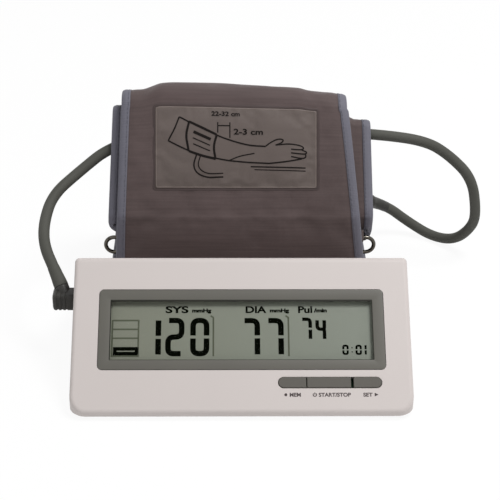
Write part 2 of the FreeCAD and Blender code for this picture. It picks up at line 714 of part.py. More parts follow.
def plunger(x):
    """Stem of one push switch, against its button, with room below for the travel."""
    low = V(x, BAR_MIDDLE, -BOARD_DEPTH + SWITCH_FLOOR + BUTTON_TRAVEL + ASSEMBLY_GAP)
    return on_panel(rod(PLUNGER_RADIUS, low, V(x, BAR_MIDDLE, GLASS_TOP - BUTTON_FLANGE_THICKNESS)))


def button(index):
    """One key of the button bar, cut from a common pill so that the three line up."""
    under = GLASS_TOP - BUTTON_FLANGE_THICKNESS
    cap = pill(BAR_LEFT, BAR_RIGHT, BAR_MIDDLE, BAR_HEIGHT / 2, under, BUTTON_PROUD)
    grow = BUTTON_FLANGE + BUTTON_FIT
    flange = pill(BAR_LEFT - grow, BAR_RIGHT + grow, BAR_MIDDLE, BAR_HEIGHT / 2 + grow, under, GLASS_TOP)
    left = BAR_LEFT - 2 * grow
    right = BAR_RIGHT + 2 * grow
    if index > 0:
        left = BAR_SPLITS[index - 1] + BAR_SPLIT_GAPS[index - 1] / 2
    if index < len(BAR_SPLITS):
        right = BAR_SPLITS[index] - BAR_SPLIT_GAPS[index] / 2
    share = box(left, right, BAR_MIDDLE - BAR_HEIGHT, BAR_MIDDLE + BAR_HEIGHT, -BOARD_DEPTH, CASE_WALL)
    key = cap.fuse(flange).removeSplitter().common(share)
    top = [e for e in key.Edges if e.BoundBox.ZMin > BUTTON_PROUD - 1e-6]
    return on_panel(key.makeFillet(BUTTON_EDGE, top))


def buzzer():
    """Round sounder under the board."""
    x, w = CHIP_LEFT - BUZZER_CHIP_GAP - BUZZER_RADIUS, (BOARD_LOW + BOARD_HIGH) / 2
    return on_panel(rod(BUZZER_RADIUS, V(x, w, BOARD_UNDER - BUZZER_HEIGHT), V(x, w, BOARD_UNDER)))


def main_chip():
    """Moulded controller under the board."""
    half = CHIP_SIDE / 2
    x, w = CHIP_LEFT + half, (BOARD_LOW + BOARD_HIGH) / 2
    return on_panel(box(x - half, x + half, w - half, w + half, BOARD_UNDER - CHIP_HEIGHT, BOARD_UNDER))


def sensor_port():
    """Tip and root of the pressure sensor's barb, in panel terms."""
    n = BOARD_UNDER - TUBE_RADIUS - ASSEMBLY_GAP
    root = V(SENSOR_X - SENSOR_SIDE / 2, SENSOR_W, n)
    return root.sub(V(BARB_LENGTH, 0, 0)), root


def pressure_sensor():
    """Pressure sensor under the board, its barb pointing left."""
    half = SENSOR_SIDE / 2
    tip, root = sensor_port()
    body = box(SENSOR_X - half, SENSOR_X + half, SENSOR_W - half, SENSOR_W + half,
               BOARD_UNDER - SENSOR_HEIGHT, BOARD_UNDER)
    body = body.fuse(rod(BARB_RADIUS, tip, root)).removeSplitter()
    return on_panel(body.cut(rod(BARB_BORE, tip, root)))


# ---------------------------------------------------------------- desk unit: batteries
def battery_cell(index):
    """One AA cell; neighbours point opposite ways."""
    y = CELL_YS[index]
    if index % 2 == 0:
        negative = BAY_LEFT + CONTACT_THICKNESS + SPRING_LENGTH + ASSEMBLY_GAP
        way = 1
    else:
        negative = BAY_RIGHT - CONTACT_THICKNESS - SPRING_LENGTH - ASSEMBLY_GAP
        way = -1
    body_end = negative + way * (CELL_LENGTH - CELL_NUB)
    can = rod(CELL_RADIUS, V(negative, y, CELL_Z), V(body_end, y, CELL_Z))
    can = can.makeFillet(CELL_EDGE, [e for e in can.Edges if e.Closed and e.BoundBox.XLength < CELL_EDGE])
    nub = rod(CELL_NUB_RADIUS, V(body_end, y, CELL_Z), V(body_end + way * CELL_NUB, y, CELL_Z))
    return can.fuse(nub).removeSplitter()


def battery_springs():
    """Negative contact springs."""
    springs = []
    for index, y in enumerate(CELL_YS):
        start = BAY_LEFT + CONTACT_THICKNESS
        if index % 2 == 1:
            start = BAY_RIGHT - CONTACT_THICKNESS - SPRING_LENGTH
        springs.append(spring(SPRING_RADIUS, SPRING_WIRE, SPRING_LENGTH, SPRING_TURNS, start, y, CELL_Z))
    return Part.makeCompound(springs)


def battery_contacts():
    """Plates that join the cells in series: single, pair, single on the left and pairs on the right."""
    reach = CONTACT_REACH
    last_cell = CELL_COUNT - 1
    left_groups = [(0, 0), *((k, k + 1) for k in range(1, last_cell, 2)), (last_cell, last_cell)]
    right_groups = [(k, k + 1) for k in range(0, CELL_COUNT, 2)]
    plates = []
    for groups, x in ((left_groups, BAY_LEFT), (right_groups, BAY_RIGHT - CONTACT_THICKNESS)):
        for first, last in groups:
            plates.append(box(x, x + CONTACT_THICKNESS, CELL_YS[first] - reach, CELL_YS[last] + reach,
                              CELL_Z - reach, CELL_Z + reach))
    return Part.makeCompound(plates)


def battery_cover():
    """Sliding cover in the base: it leaves to the right and its end is part of the case's side."""
    top = COVER_TOP
    plate = box(BAY_LEFT + 2 * COVER_FIT, FAR, BAY_FRONT + 2 * COVER_FIT, BAY_BACK - 2 * COVER_FIT, 0, top)
    tongues = box(BAY_LEFT + 2 * COVER_FIT, FAR, BAY_FRONT - COVER_TONGUE + 2 * COVER_FIT,
                  BAY_BACK + COVER_TONGUE - 2 * COVER_FIT, top - COVER_TONGUE_THICKNESS, top)
    cover = plate.fuse(tongues).removeSplitter().common(OUTER)
    for k in range(COVER_RIB_COUNT):
        x = BAY_RIGHT - COVER_RIB_PITCH * k
        cover = cover.cut(box(x, x + COVER_RIB_WIDTH, BAY_MIDDLE_Y - COVER_RIB_HALF,
                              BAY_MIDDLE_Y + COVER_RIB_HALF, 0, FOOT_PROUD + COVER_RIB_DEPTH))
    return cover


# ---------------------------------------------------------------- desk unit: air system
def at_pump(x, y=0.0, z=0.0):
    """Point on the pump's axis, or beside it."""
    return V(x, PUMP_Y + y, PUMP_Z + z)


def pump_motor_can():
    """Steel can of the pump's motor with its two shaft holes."""
    can = rod(MOTOR_RADIUS, at_pump(MOTOR_LEFT), at_pump(MOTOR_RIGHT))
    hollow = rod(MOTOR_RADIUS - MOTOR_WALL, at_pump(MOTOR_LEFT + 2 * MOTOR_WALL),
                 at_pump(MOTOR_RIGHT - 2 * MOTOR_WALL))
    shaft = rod(SHAFT_RADIUS + SHAFT_FIT, at_pump(MOTOR_LEFT - 1), at_pump(MOTOR_RIGHT + 1))
    return can.cut(hollow).cut(shaft)


def pump_rotor():
    """Armature, shaft and the hub that drives the pump's plate."""
    hub_left = MOTOR_LEFT - HUB_START
    brushes = MOTOR_RIGHT - COMMUTATOR_START
    shaft = rod(SHAFT_RADIUS, at_pump(MOTOR_LEFT - SHAFT_OUT), at_pump(MOTOR_RIGHT - SHAFT_INSIDE))
    armature = rod(MOTOR_RADIUS - MOTOR_WALL - ARMATURE_CLEARANCE, at_pump(MOTOR_LEFT + ARMATURE_START),
                   at_pump(brushes))
    commutator = rod(COMMUTATOR_RADIUS, at_pump(brushes), at_pump(brushes + COMMUTATOR_LENGTH))
    hub = rod(HUB_RADIUS, at_pump(hub_left), at_pump(hub_left + HUB_LENGTH))
    crank = rod(CRANK_RADIUS, at_pump(MOTOR_LEFT - SHAFT_OUT, CRANK_OFFSET),
                at_pump(MOTOR_LEFT - SHAFT_OUT + CRANK_LENGTH, CRANK_OFFSET))
    return shaft.multiFuse([armature, commutator, hub, crank]).removeSplitter()


def pump_sleeve():
    """Foam ring round the motor that stops its noise reaching the case."""
    return pipe(HEAD_RADIUS, MOTOR_RADIUS, at_pump(MOTOR_LEFT + SLEEVE_INSET),
                at_pump(MOTOR_RIGHT - SLEEVE_INSET))


def cup_rods(radius, start, end):
    """One rod for each of the pump's cups."""
    rods = []
    for k in range(CUP_COUNT):
        angle = 2 * math.pi * k / CUP_COUNT
        y, z = CUP_CIRCLE * math.cos(angle), CUP_CIRCLE * math.sin(angle)
        rods.append(rod(radius, at_pump(start, y, z), at_pump(end, y, z)))
    return rods


def pump_head():
    """Pump housing with its chamber and the barb where air leaves."""
    body = rod(HEAD_RADIUS, at_pump(HEAD_LEFT), at_pump(MOTOR_LEFT))
    tip, root = HEAD_LEFT - PUMP_BARB_LENGTH, HEAD_LEFT + CHAMBER_START
    body = body.fuse(rod(BARB_RADIUS, at_pump(tip, -OUTLET_OFFSET), at_pump(root, -OUTLET_OFFSET)))
    chamber_end = root + CHAMBER_LENGTH
    cup_room = HEAD_LEFT + CUP_ROOM_START
    hollows = [
        rod(HEAD_RADIUS - CUP_ROOM_WALL, at_pump(cup_room), at_pump(MOTOR_LEFT)),
        rod(HEAD_RADIUS - CHAMBER_WALL, at_pump(root), at_pump(chamber_end)),
        rod(BARB_BORE, at_pump(tip, -OUTLET_OFFSET), at_pump(root, -OUTLET_OFFSET)),
        *cup_rods(FLAP_HOLE_RADIUS, chamber_end, cup_room),
    ]
    for hollow in hollows:
        body = body.cut(hollow)
    return body.removeSplitter()


def pump_diaphragm():
    """Rubber disc with its cups, which squeeze the air."""
    start = HEAD_LEFT + CUP_ROOM_START
    disc = rod(HEAD_RADIUS - CUP_ROOM_WALL, at_pump(start), at_pump(start + CUP_DISC))
    body = disc.multiFuse(cup_rods(CUP_RADIUS, start, start + CUP_HEIGHT)).removeSplitter()
    for hollow in cup_rods(CUP_RADIUS - CUP_WALL, start, start + CUP_HEIGHT - CUP_ROOF):
        body = body.cut(hollow)
    return body


def pump_drive_plate():
    """Plate that the crank rocks to work the cups."""
    start = HEAD_LEFT + CUP_ROOM_START + CUP_HEIGHT
    radius = HEAD_RADIUS - CUP_ROOM_WALL - DRIVE_PLATE_CLEARANCE
    return rod(radius, at_pump(start), at_pump(start + DRIVE_PLATE_THICKNESS))


def at_socket(x):
    """Point on the air socket's axis."""
    return V(x, SOCKET_Y, SOCKET_Z)


def seal_solid():
    """The seal's outer form."""
    start = -HALF_W + SEAL_START
    return rod(SOCKET_BORE + SEAL_DEPTH, at_socket(start), at_socket(start + SEAL_WIDTH))


def air_socket():
    """Socket in the left side wall where the hose plugs in."""
    inner_wall = -HALF_W + CASE_WALL
    body = rod(SOCKET_RADIUS, at_socket(-HALF_W), at_socket(MANIFOLD_LEFT))
    body = body.fuse(rod(SOCKET_FLANGE, at_socket(inner_wall), at_socket(inner_wall + SOCKET_FLANGE_THICKNESS)))
    bore = rod(SOCKET_BORE, at_socket(-HALF_W), at_socket(-HALF_W + SPIGOT_LENGTH + SOCKET_END_ROOM))
    airway = rod(AIRWAY_RADIUS, at_socket(-HALF_W), at_socket(MANIFOLD_LEFT))
    return body.cut(bore).cut(airway).cut(seal_solid()).removeSplitter()


def socket_seal():
    """Rubber ring that grips the plug's spigot."""
    return seal_solid().cut(rod(SOCKET_BORE, at_socket(-HALF_W), at_socket(MANIFOLD_LEFT)))


def air_manifold():
    """Block that joins socket, pump, valve and pressure sensor."""
    half = MANIFOLD_SIDE / 2
    x, y, z = MANIFOLD_X, SOCKET_Y, SOCKET_Z
    block = box(x - half, x + half, y - half, y + half, z - half, z + half)
    middle = V(x, y, z)
    down, right = V(x, y, z - half - BARB_LENGTH), V(x + half + BARB_LENGTH, y, z)
    block = block.multiFuse([rod(BARB_RADIUS, down, middle), rod(BARB_RADIUS, middle, right)]).removeSplitter()
    block = block.cut(rod(BARB_BORE, V(x - half, y, z), right))
    for branch_end in (down, V(x, y + half, z)):
        block = block.cut(rod(BRANCH_BORE, branch_end, middle))
    return block


def at_valve(reach):
    """Point on the valve's axis, behind its front face."""
    return V(MANIFOLD_X, VALVE_FRONT + reach, SOCKET_Z)


def valve_body():
    """Housing of the valve that lets the air out."""
    half = MANIFOLD_SIDE / 2
    body = box(MANIFOLD_X - half, MANIFOLD_X + half, VALVE_FRONT, VALVE_FRONT + VALVE_LENGTH,
               SOCKET_Z - half, SOCKET_Z + half)
    hollow = rod(half - VALVE_WALL, at_valve(VALVE_END_WALL), at_valve(VALVE_LENGTH - VALVE_END_WALL))
    return body.cut(hollow).cut(rod(BARB_BORE, at_valve(0), at_valve(VALVE_LENGTH)))


def valve_coil():
    """Winding round the valve's plunger."""
    return pipe(MANIFOLD_SIDE / 2 - VALVE_WALL, VALVE_PLUNGER_RADIUS + SHAFT_FIT,
                at_valve(COIL_START), at_valve(VALVE_LENGTH - VALVE_END_WALL))


def valve_plunger():
    """Iron plunger with a soft tip; it moves forward to shut the air port."""
    start = VALVE_END_WALL + VALVE_TRAVEL + VALVE_SEAT_GAP
    return rod(VALVE_PLUNGER_RADIUS, at_valve(start), at_valve(start + VALVE_PLUNGER_LENGTH))


def pump_tube():
    """Soft tube from the pump's outlet to the manifold."""
    top = V(MANIFOLD_X, SOCKET_Y, SOCKET_Z - MANIFOLD_SIDE / 2)
    corner = V(MANIFOLD_X, SOCKET_Y, PUMP_Z)
    end = at_pump(HEAD_LEFT, -OUTLET_OFFSET)
    return bent_pipe([top, corner, end], TUBE_RADIUS, BARB_RADIUS)[0]


def sensor_tube():
    """Soft tube from the manifold to the pressure sensor."""
    tip, root = sensor_port()
    start = at_socket(MANIFOLD_X + MANIFOLD_SIDE / 2)
    before = PANEL.multVec(tip.sub(V(TUBE_APPROACH, 0, 0)))
    points = [start, start.add(V(TUBE_STRAIGHT, 0, 0)), before, PANEL.multVec(root)]
    return bent_pipe(points, TUBE_RADIUS, BARB_RADIUS)[0]


# ---------------------------------------------------------------- cuff: the wrapped strip
# Seen from its right end the strip is a belt round four bends. From the ring hem it climbs the front
# inside the flap, turns over the top, comes down the back, runs along the table, climbs the front
# again as the flap and ends on the back. A wrap outside another is one pitch further out.
STRIP = 2 * CLOTH + CORE
HALF_STRIP = STRIP / 2
PITCH = STRIP + WRAP_GAP
CUFF_FRONT = HALF_D + CUFF_GAP
BEND_REACH = BINDING_THICKNESS + HALF_STRIP + FLOOR_BEND
FRONT_BEND = (CUFF_FRONT + BEND_REACH, BEND_REACH)
CREASE = (FRONT_BEND[0] + CREASE_SETBACK, FRONT_BEND[1] + CREASE_RISE)
TOP = (FRONT_BEND[0] + TOP_SETBACK, FRONT_BEND[1] + TOP_RISE)
BACK_BEND = (FRONT_BEND[0] + BACK_SETBACK, FRONT_BEND[1])


def polar(centre, radius, angle):
    """Point at an angle on a circle in the YZ plane."""
    return centre[0] + radius * math.cos(angle), centre[1] + radius * math.sin(angle)


def tangent_angle(first, first_radius, second, second_radius):
    """Direction of the outward normal of the belt's run from one bend to the next."""
    dy, dz = second[0] - first[0], second[1] - first[1]
    return math.atan2(dz, dy) + math.acos((first_radius - second_radius) / math.hypot(dy, dz))


def belt(bends, first_angle, last_angle):
    """Turns of a belt: (centre, radius, angle in, angle out), turning clockwise."""
    angles = [first_angle]
    for (centre, radius), (after, after_radius) in zip(bends, bends[1:]):
        angle = tangent_angle(centre, radius, after, after_radius)
        while angle > angles[-1] + 1e-9:
            angle -= 2 * math.pi
        angles.append(angle)
    while last_angle > angles[-1] + 1e-9:
        last_angle -= 2 * math.pi
    angles.append(last_angle)
    return [(centre, radius, a, b) for (centre, radius), a, b in zip(bends, angles, angles[1:])]


FLAP_RADIUS = CREASE_BEND + PITCH
RISE_ANGLE = tangent_angle(FRONT_BEND, FLOOR_BEND, CREASE, FLAP_RADIUS)
BACK_ANGLE = tangent_angle(TOP, TOP_BEND, BACK_BEND, FLOOR_BEND)
INNER_TURNS = belt([(CREASE, CREASE_BEND), (TOP, TOP_BEND), (BACK_BEND, FLOOR_BEND)], RISE_ANGLE, -math.pi / 2)
OUTER_TURNS = belt([(FRONT_BEND, FLOOR_BEND), (CREASE, FLAP_RADIUS), (TOP, TOP_BEND + PITCH)],
                   -math.pi / 2, BACK_ANGLE)


def strip_edges(turns, offset, lead, tail):
    """Edges of the strip at an offset from its middle, with a straight lead and tail."""
    centre, radius, angle, _ = turns[0]
    y, z = polar(centre, radius + offset, angle)
    here = V(0, y - lead * math.sin(angle), z + lead * math.cos(angle))
    edges = []
    for centre, radius, a, b in turns:
        start, middle, end = (V(0, *polar(centre, radius + offset, t)) for t in (a, (a + b) / 2, b))
        if start.sub(here).Length > 1e-6:
            edges.append(Part.LineSegment(here, start).toShape())
        edges.append(Part.Arc(start, middle, end).toShape())
        here = end
    if tail:
        end = V(0, here.y + tail * math.sin(b), here.z - tail * math.cos(b))
        edges.append(Part.LineSegment(here, end).toShape())
    return edges


def strip_band(turns, low, high, lead, tail):
    """Layer of the strip between two offsets, drawn out wide along X."""
    inner = strip_edges(turns, low, lead, tail)
    outer = strip_edges(turns, high, lead, tail)
    caps = [Part.LineSegment(inner[0].Vertexes[0].Point, outer[0].Vertexes[0].Point).toShape(),
            Part.LineSegment(inner[-1].Vertexes[-1].Point, outer[-1].Vertexes[-1].Point).toShape()]
    face = Part.Face(Part.Wire(Part.__sortEdges__(inner + outer + caps)))
    face.translate(V(-2 * CUFF_HALF_FLOOR, 0, 0))
    return face.extrude(V(4 * CUFF_HALF_FLOOR, 0, 0))


MAIN_TOP = TOP[1] + TOP_BEND + HALF_STRIP
FLAP_TOP = MAIN_TOP + PITCH


def side_plan(levels, y0, y1):
    """Block whose left and right sides follow (z, left, right) levels."""
    lowest, highest = levels[0], levels[-1]
    levels = [(-FAR, *lowest[1:]), *levels, (FAR, *highest[1:])]
    right_side = [(right, z) for z, _, right in levels]
    left_side = [(left, z) for z, left, _ in reversed(levels)]
    return prism_y(right_side + left_side, y0, y1)


def main_plan(inset):
    """Width of the main strip, slightly narrower upwards, less inset at each side."""
    low, high = CUFF_HALF_FLOOR - inset, CUFF_HALF_TOP - inset
    return side_plan([(0, -low, low), (MAIN_TOP, -high, high)], 0, FAR)


def flap_plan(inset):
    """Width of the flap: it tapers up the front and keeps that width down the back."""
    front = [(0, inset - FLAP_FLOOR_LEFT, FLAP_FLOOR_RIGHT - inset),
             (FLAP_RIDGE_LEVEL, inset - FLAP_RIDGE_LEFT, FLAP_RIDGE_RIGHT - inset),
             (FLAP_TOP, inset - FLAP_TOP_LEFT, FLAP_TOP_RIGHT - inset)]
    return side_plan(front, 0, TOP[0]).fuse(side_plan(front[-1:], TOP[0], FAR))


HEM_RADIUS = RING_WIRE + RING_FIT + HEM_WALL
HEM_LEAD = HEM_DROP - HEM_RADIUS - HEM_OVERLAP


def main_layer(low, high, inset):
    """Layer of the main strip, from the ring hem round to the front of the table run."""
    return strip_band(INNER_TURNS, low, high, HEM_LEAD, BACK_SETBACK).common(main_plan(inset))


def flap_layer(low, high, inset):
    """Layer of the flap, from the table run up the front and down the back."""
    return strip_band(OUTER_TURNS, low, high, 0, FLAP_DROP).common(flap_plan(inset))


def run_plate(centre, angle, low, high, start, end, x0, x1):
    """Flat plate beside a straight run: low and high from the bend's centre, start and end along it."""
    corners = []
    for reach, along in ((low, start), (high, start), (high, end), (low, end)):
        y, z = polar(centre, reach, angle)
        corners.append((y + along * math.sin(angle), z - along * math.cos(angle)))
    return prism_x(corners, x0, x1)


SEAM = 0.5


def cuff_outer_cloth():
    """Nylon cloth on the outside of the whole strip."""
    low, high = HALF_STRIP - CLOTH, HALF_STRIP
    return main_layer(low, high, SEAM).fuse(flap_layer(low, high, SEAM)).removeSplitter()


def cuff_lining():
    """Soft cloth on the arm side of the whole strip."""
    low, high = -HALF_STRIP, CLOTH - HALF_STRIP
    return main_layer(low, high, SEAM).fuse(flap_layer(low, high, SEAM)).removeSplitter()


def air_bladder():
    """Flat air bag between the two cloths of the main strip."""
    bag = strip_band(INNER_TURNS, -CORE / 2, CORE / 2, HEM_LEAD, BACK_SETBACK)
    return bag.common(box(-BLADDER_HALF, BLADDER_HALF, 0, FAR, -1, FAR))


def flap_foam():
    """Foam sheet that stiffens the flap."""
    return flap_layer(-CORE / 2, CORE / 2, BINDING_WIDTH)


def binding(layer, plan, right):
    """Edge tape folded over one side of the strip."""
    reach = HALF_STRIP + BINDING_THICKNESS
    tape = layer(-reach, reach, 0).cut(plan(BINDING_WIDTH)).cut(layer(-HALF_STRIP, HALF_STRIP, SEAM))
    side = box(0, FAR, -FAR, FAR, -FAR, FAR) if right else box(-FAR, 0, -FAR, FAR, -FAR, FAR)
    return tape.common(side)


# ---------------------------------------------------------------- cuff: ring, patches, label
RISE_START = polar(CREASE, CREASE_BEND, RISE_ANGLE)
HEM_CENTRE = (
    RISE_START[0] - HEM_DROP * math.sin(RISE_ANGLE) - HEM_SHIFT * math.cos(RISE_ANGLE),
    RISE_START[1] + HEM_DROP * math.cos(RISE_ANGLE) - HEM_SHIFT * math.sin(RISE_ANGLE),
)


def ring_hem():
    """Sewn hem round the ring's upper bar, with the seam that joins it to the strip."""
    y, z = HEM_CENTRE
    hem = rod(HEM_RADIUS, V(-HEM_HALF, y, z), V(HEM_HALF, y, z))
    seam = run_plate(CREASE, RISE_ANGLE, CREASE_BEND - HALF_STRIP, CREASE_BEND + HALF_STRIP,
                     -HEM_DROP, -HEM_LEAD, -HEM_HALF, HEM_HALF)
    bore = rod(RING_WIRE + RING_FIT, V(-HEM_HALF - 1, y, z), V(HEM_HALF + 1, y, z))
    return hem.fuse(seam).cut(bore).removeSplitter()


def cuff_ring():
    """Wire ring that the cuff's end is threaded through; it hangs from the hem."""
    y, z = HEM_CENTRE
    bend = RING_HEIGHT / 2 - RING_WIRE
    end = RING_HALF_LENGTH - RING_HEIGHT / 2
    middle = z - bend
    bars = [rod(RING_WIRE, V(-end, y, middle + side * bend), V(end, y, middle + side * bend))
            for side in (-1, 1)]
    for side in (-1, 1):
        turn = Part.makeTorus(bend, RING_WIRE, V(side * end, y, middle), V(0, 1, 0))
        bars.append(turn.common(box(side * end, side * end + FAR, -FAR, FAR, -FAR, FAR) if side > 0
                                else box(-FAR, side * end, -FAR, FAR, -FAR, FAR)))
    return bars[0].multiFuse(bars[1:]).removeSplitter()


PATCH_THICKNESS = WRAP_GAP / 2
BACK_FACE = TOP_BEND + HALF_STRIP
PATCH_START = FLAP_DROP - PATCH_LENGTH - PATCH_END_GAP


def loop_patch():
    """Pile patch on the back of the main strip."""
    return run_plate(TOP, BACK_ANGLE, BACK_FACE, BACK_FACE + PATCH_THICKNESS,
                     PATCH_START - LOOP_MARGIN, FLAP_DROP + LOOP_MARGIN, -PATCH_HALF, PATCH_HALF)


def hook_patch():
    """Hook patch under the flap's end, closed on the pile."""
    return run_plate(TOP, BACK_ANGLE, BACK_FACE + PATCH_THICKNESS, BACK_FACE + WRAP_GAP,
                     PATCH_START, PATCH_START + PATCH_LENGTH, -PATCH_HALF, PATCH_HALF)


def cuff_label():
    """Printed patch welded on the flap's sloping front."""
    angle = OUTER_TURNS[1][3]
    face = FLAP_RADIUS + HALF_STRIP
    run = math.hypot(TOP[0] - CREASE[0], TOP[1] - CREASE[1])
    end = run - LABEL_DROP
    return run_plate(CREASE, angle, face, face + LABEL_THICKNESS, end - LABEL_HEIGHT, end,
                     LABEL_MIDDLE_X - LABEL_WIDTH / 2, LABEL_MIDDLE_X + LABEL_WIDTH / 2)


# ---------------------------------------------------------------- hose
BACK_RUN_END = polar(BACK_BEND, FLOOR_BEND, BACK_ANGLE)
PORT_Y = BACK_RUN_END[0] - PORT_RISE * math.sin(BACK_ANGLE)
PORT_Z = BACK_RUN_END[1] + PORT_RISE * math.cos(BACK_ANGLE)
PORT_X = CUFF_HALF_FLOOR - (CUFF_HALF_FLOOR - CUFF_HALF_TOP) * PORT_Z / MAIN_TOP
PORT_ROOT = V(PORT_X, PORT_Y, PORT_Z)
PORT_WAY = V(*HOSE_ROUTE[0]).sub(PORT_ROOT).normalize()
PORT_TIP = PORT_ROOT.add(V(PORT_WAY).multiply(PORT_LENGTH))
PLUG_FACE = -HALF_W - PLUG_GAP
PLUG_MIDDLE = V(PLUG_FACE - PLUG_LENGTH / 2, SOCKET_Y, SOCKET_Z)
COLLAR_WAY = V(*HOSE_ROUTE[-1]).sub(PLUG_MIDDLE).normalize()
COLLAR_TIP = PLUG_MIDDLE.add(V(COLLAR_WAY).multiply(COLLAR_LENGTH))


def port_tang():
    """Flat root of the hose port, between the two cloths."""
    return run_plate(BACK_BEND, BACK_ANGLE, FLOOR_BEND - CORE / 2, FLOOR_BEND + CORE / 2,
                     -PORT_RISE - PORT_TANG_HALF, -PORT_RISE + PORT_TANG_HALF, BLADDER_HALF,
                     PORT_X + PORT_LENGTH / 2)


def hose_port():
    """Moulded outlet of the bladder at the cuff's right edge."""
    boot = rod(PORT_RADIUS, PORT_ROOT, PORT_TIP).common(box(PORT_X + SEAM, FAR, 0, FAR, 0, FAR))
    return port_tang().fuse(boot).removeSplitter()


def air_hose():
    """Hose from the cuff's port to the plug; prints its bend radii and its volume as a check."""
    points = [PORT_TIP, *(V(*p) for p in HOSE_ROUTE), COLLAR_TIP]
    hose, radii, length = bent_pipe(points, HOSE_RADIUS, 0)
    print("hose radii", radii)
    print("hose length", round(length, 1), "volume", round(hose.Volume, 1),
          "section times length", round(math.pi * HOSE_RADIUS ** 2 * length, 1))
    return hose


def hose_plug():
    """Elbow plug: a barrel against the case with a collar that takes the hose."""
    far_end = V(PLUG_FACE - PLUG_LENGTH, SOCKET_Y, SOCKET_Z)
    face = V(PLUG_FACE, SOCKET_Y, SOCKET_Z)
    body = rod(PLUG_RADIUS, far_end, face).fuse(rod(COLLAR_RADIUS, PLUG_MIDDLE, COLLAR_TIP))
    return body.cut(rod(SOCKET_BORE - SPIGOT_FIT, PLUG_MIDDLE, face)).removeSplitter()


def plug_spigot():
    """Hollow nipple of the plug, in the case's socket."""
    tip = V(PLUG_FACE + SPIGOT_LENGTH, SOCKET_Y, SOCKET_Z)
    return pipe(SOCKET_BORE - SPIGOT_FIT, AIRWAY_RADIUS, PLUG_MIDDLE, tip)


# ---------------------------------------------------------------- export
def build():
    """Every node's name and shape."""
    middles = button_middles()
    names = ("memory", "start_stop", "set")
    nodes = {
        "upper_case": upper_case(),
        "lower_case": lower_case(),
        "case_screws": case_screws(),
        "rubber_feet": rubber_feet(),
        "display_lens": display_lens(),
        "lens_border": lens_border(),
        "lcd_glass": lcd_glass(),
        "lcd_reflector": lcd_reflector(),
        "lcd_holder": lcd_holder(),
        "zebra_strips": zebra_strips(),
        "main_board": main_board(),
        "board_screws": board_screws(),
        "tact_switches": tact_switches(),
        "buzzer": buzzer(),
        "main_chip": main_chip(),
        "pressure_sensor": pressure_sensor(),
        "battery_springs": battery_springs(),
        "battery_contacts": battery_contacts(),
        "battery_cover": battery_cover(),
        "pump_motor_can": pump_motor_can(),
        "pump_rotor": pump_rotor(),
        "pump_sleeve": pump_sleeve(),
        "pump_head": pump_head(),
        "pump_diaphragm": pump_diaphragm(),
        "pump_drive_plate": pump_drive_plate(),
        "air_socket": air_socket(),
        "socket_seal": socket_seal(),
        "air_manifold": air_manifold(),
        "valve_body": valve_body(),
        "valve_coil": valve_coil(),
        "valve_plunger": valve_plunger(),
        "pump_tube": pump_tube(),
        "sensor_tube": sensor_tube(),
        "cuff_outer_cloth": cuff_outer_cloth(),
        "cuff_lining": cuff_lining(),
        "air_bladder": air_bladder(),
        "flap_foam": flap_foam(),
        "binding_left": binding(main_layer, main_plan, False),
        "binding_right": binding(main_layer, main_plan, True).cut(port_tang()),
        "flap_binding_left": binding(flap_layer, flap_plan, False),
        "flap_binding_right": binding(flap_layer, flap_plan, True),
        "ring_hem": ring_hem(),
        "cuff_ring": cuff_ring(),
        "loop_patch": loop_patch(),
        "hook_patch": hook_patch(),
        "cuff_label": cuff_label(),
        "hose_port": hose_port(),
        "air_hose": air_hose(),
        "hose_plug": hose_plug(),
        "plug_spigot": plug_spigot(),
    }
    for index, name in enumerate(names):
        nodes[f"{name}_button"] = button(index)
        nodes[f"{name}_plunger"] = plunger(middles[index])
    nodes["battery_cells"] = Part.makeCompound([battery_cell(k) for k in range(CELL_COUNT)])
    return nodes


def main():
    """Write one STEP file per node."""
    os.makedirs("parts", exist_ok=True)
    for name, shape in build().items():
        shape.exportStep(f"parts/{name}.step")
        print(f"{name:20s} solids {len(shape.Solids)} volume {shape.Volume:10.1f} valid {shape.isValid()}")


main()
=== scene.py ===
"""Upper-arm blood pressure monitor: the looks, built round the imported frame.

Sizes are in millimetres in the row frame; Shape.piece turns them into metres.
"""
import logging
import math
from collections.abc import Callable, Iterable, Sequence
from dataclasses import dataclass, field
from enum import Enum

import bmesh
import bpy
import numpy as np
from mathutils import Matrix, Vector, noise


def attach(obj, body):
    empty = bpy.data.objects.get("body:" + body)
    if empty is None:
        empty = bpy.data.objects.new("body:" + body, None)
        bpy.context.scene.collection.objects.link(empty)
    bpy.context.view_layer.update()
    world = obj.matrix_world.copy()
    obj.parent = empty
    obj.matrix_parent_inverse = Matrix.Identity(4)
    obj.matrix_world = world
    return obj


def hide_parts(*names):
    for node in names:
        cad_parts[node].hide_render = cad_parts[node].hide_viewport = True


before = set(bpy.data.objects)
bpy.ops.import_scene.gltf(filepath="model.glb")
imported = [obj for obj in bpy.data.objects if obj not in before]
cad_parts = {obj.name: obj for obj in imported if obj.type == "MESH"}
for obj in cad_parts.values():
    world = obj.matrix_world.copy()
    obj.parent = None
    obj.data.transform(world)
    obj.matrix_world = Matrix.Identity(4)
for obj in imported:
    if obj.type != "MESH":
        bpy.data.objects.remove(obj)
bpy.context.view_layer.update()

LOG = logging.getLogger("scene")
MM = 0.001
Point = tuple[float, float, float]
Flat = tuple[float, float]
Box = tuple[float, float, float, float]
Rgb = tuple[int, int, int]
Rgba = tuple[float, float, float, float]
Place = Callable[[float, float, float], Point]
WHITE: Rgba = (1.0, 1.0, 1.0, 1.0)


# ---------------------------------------------------------------- small numbers
def linear(colour: Rgb) -> Rgba:
    """Turn a display colour of 0 to 255 into a linear one.

    Args:
        colour: red, green and blue.

    Returns:
        The linear colour with alpha 1.
    """
    shares = [c / 255 for c in colour]
    parts = [c / 12.92 if c <= 0.04045 else ((c + 0.055) / 1.055) ** 2.4 for c in shares]
    return parts[0], parts[1], parts[2], 1.0


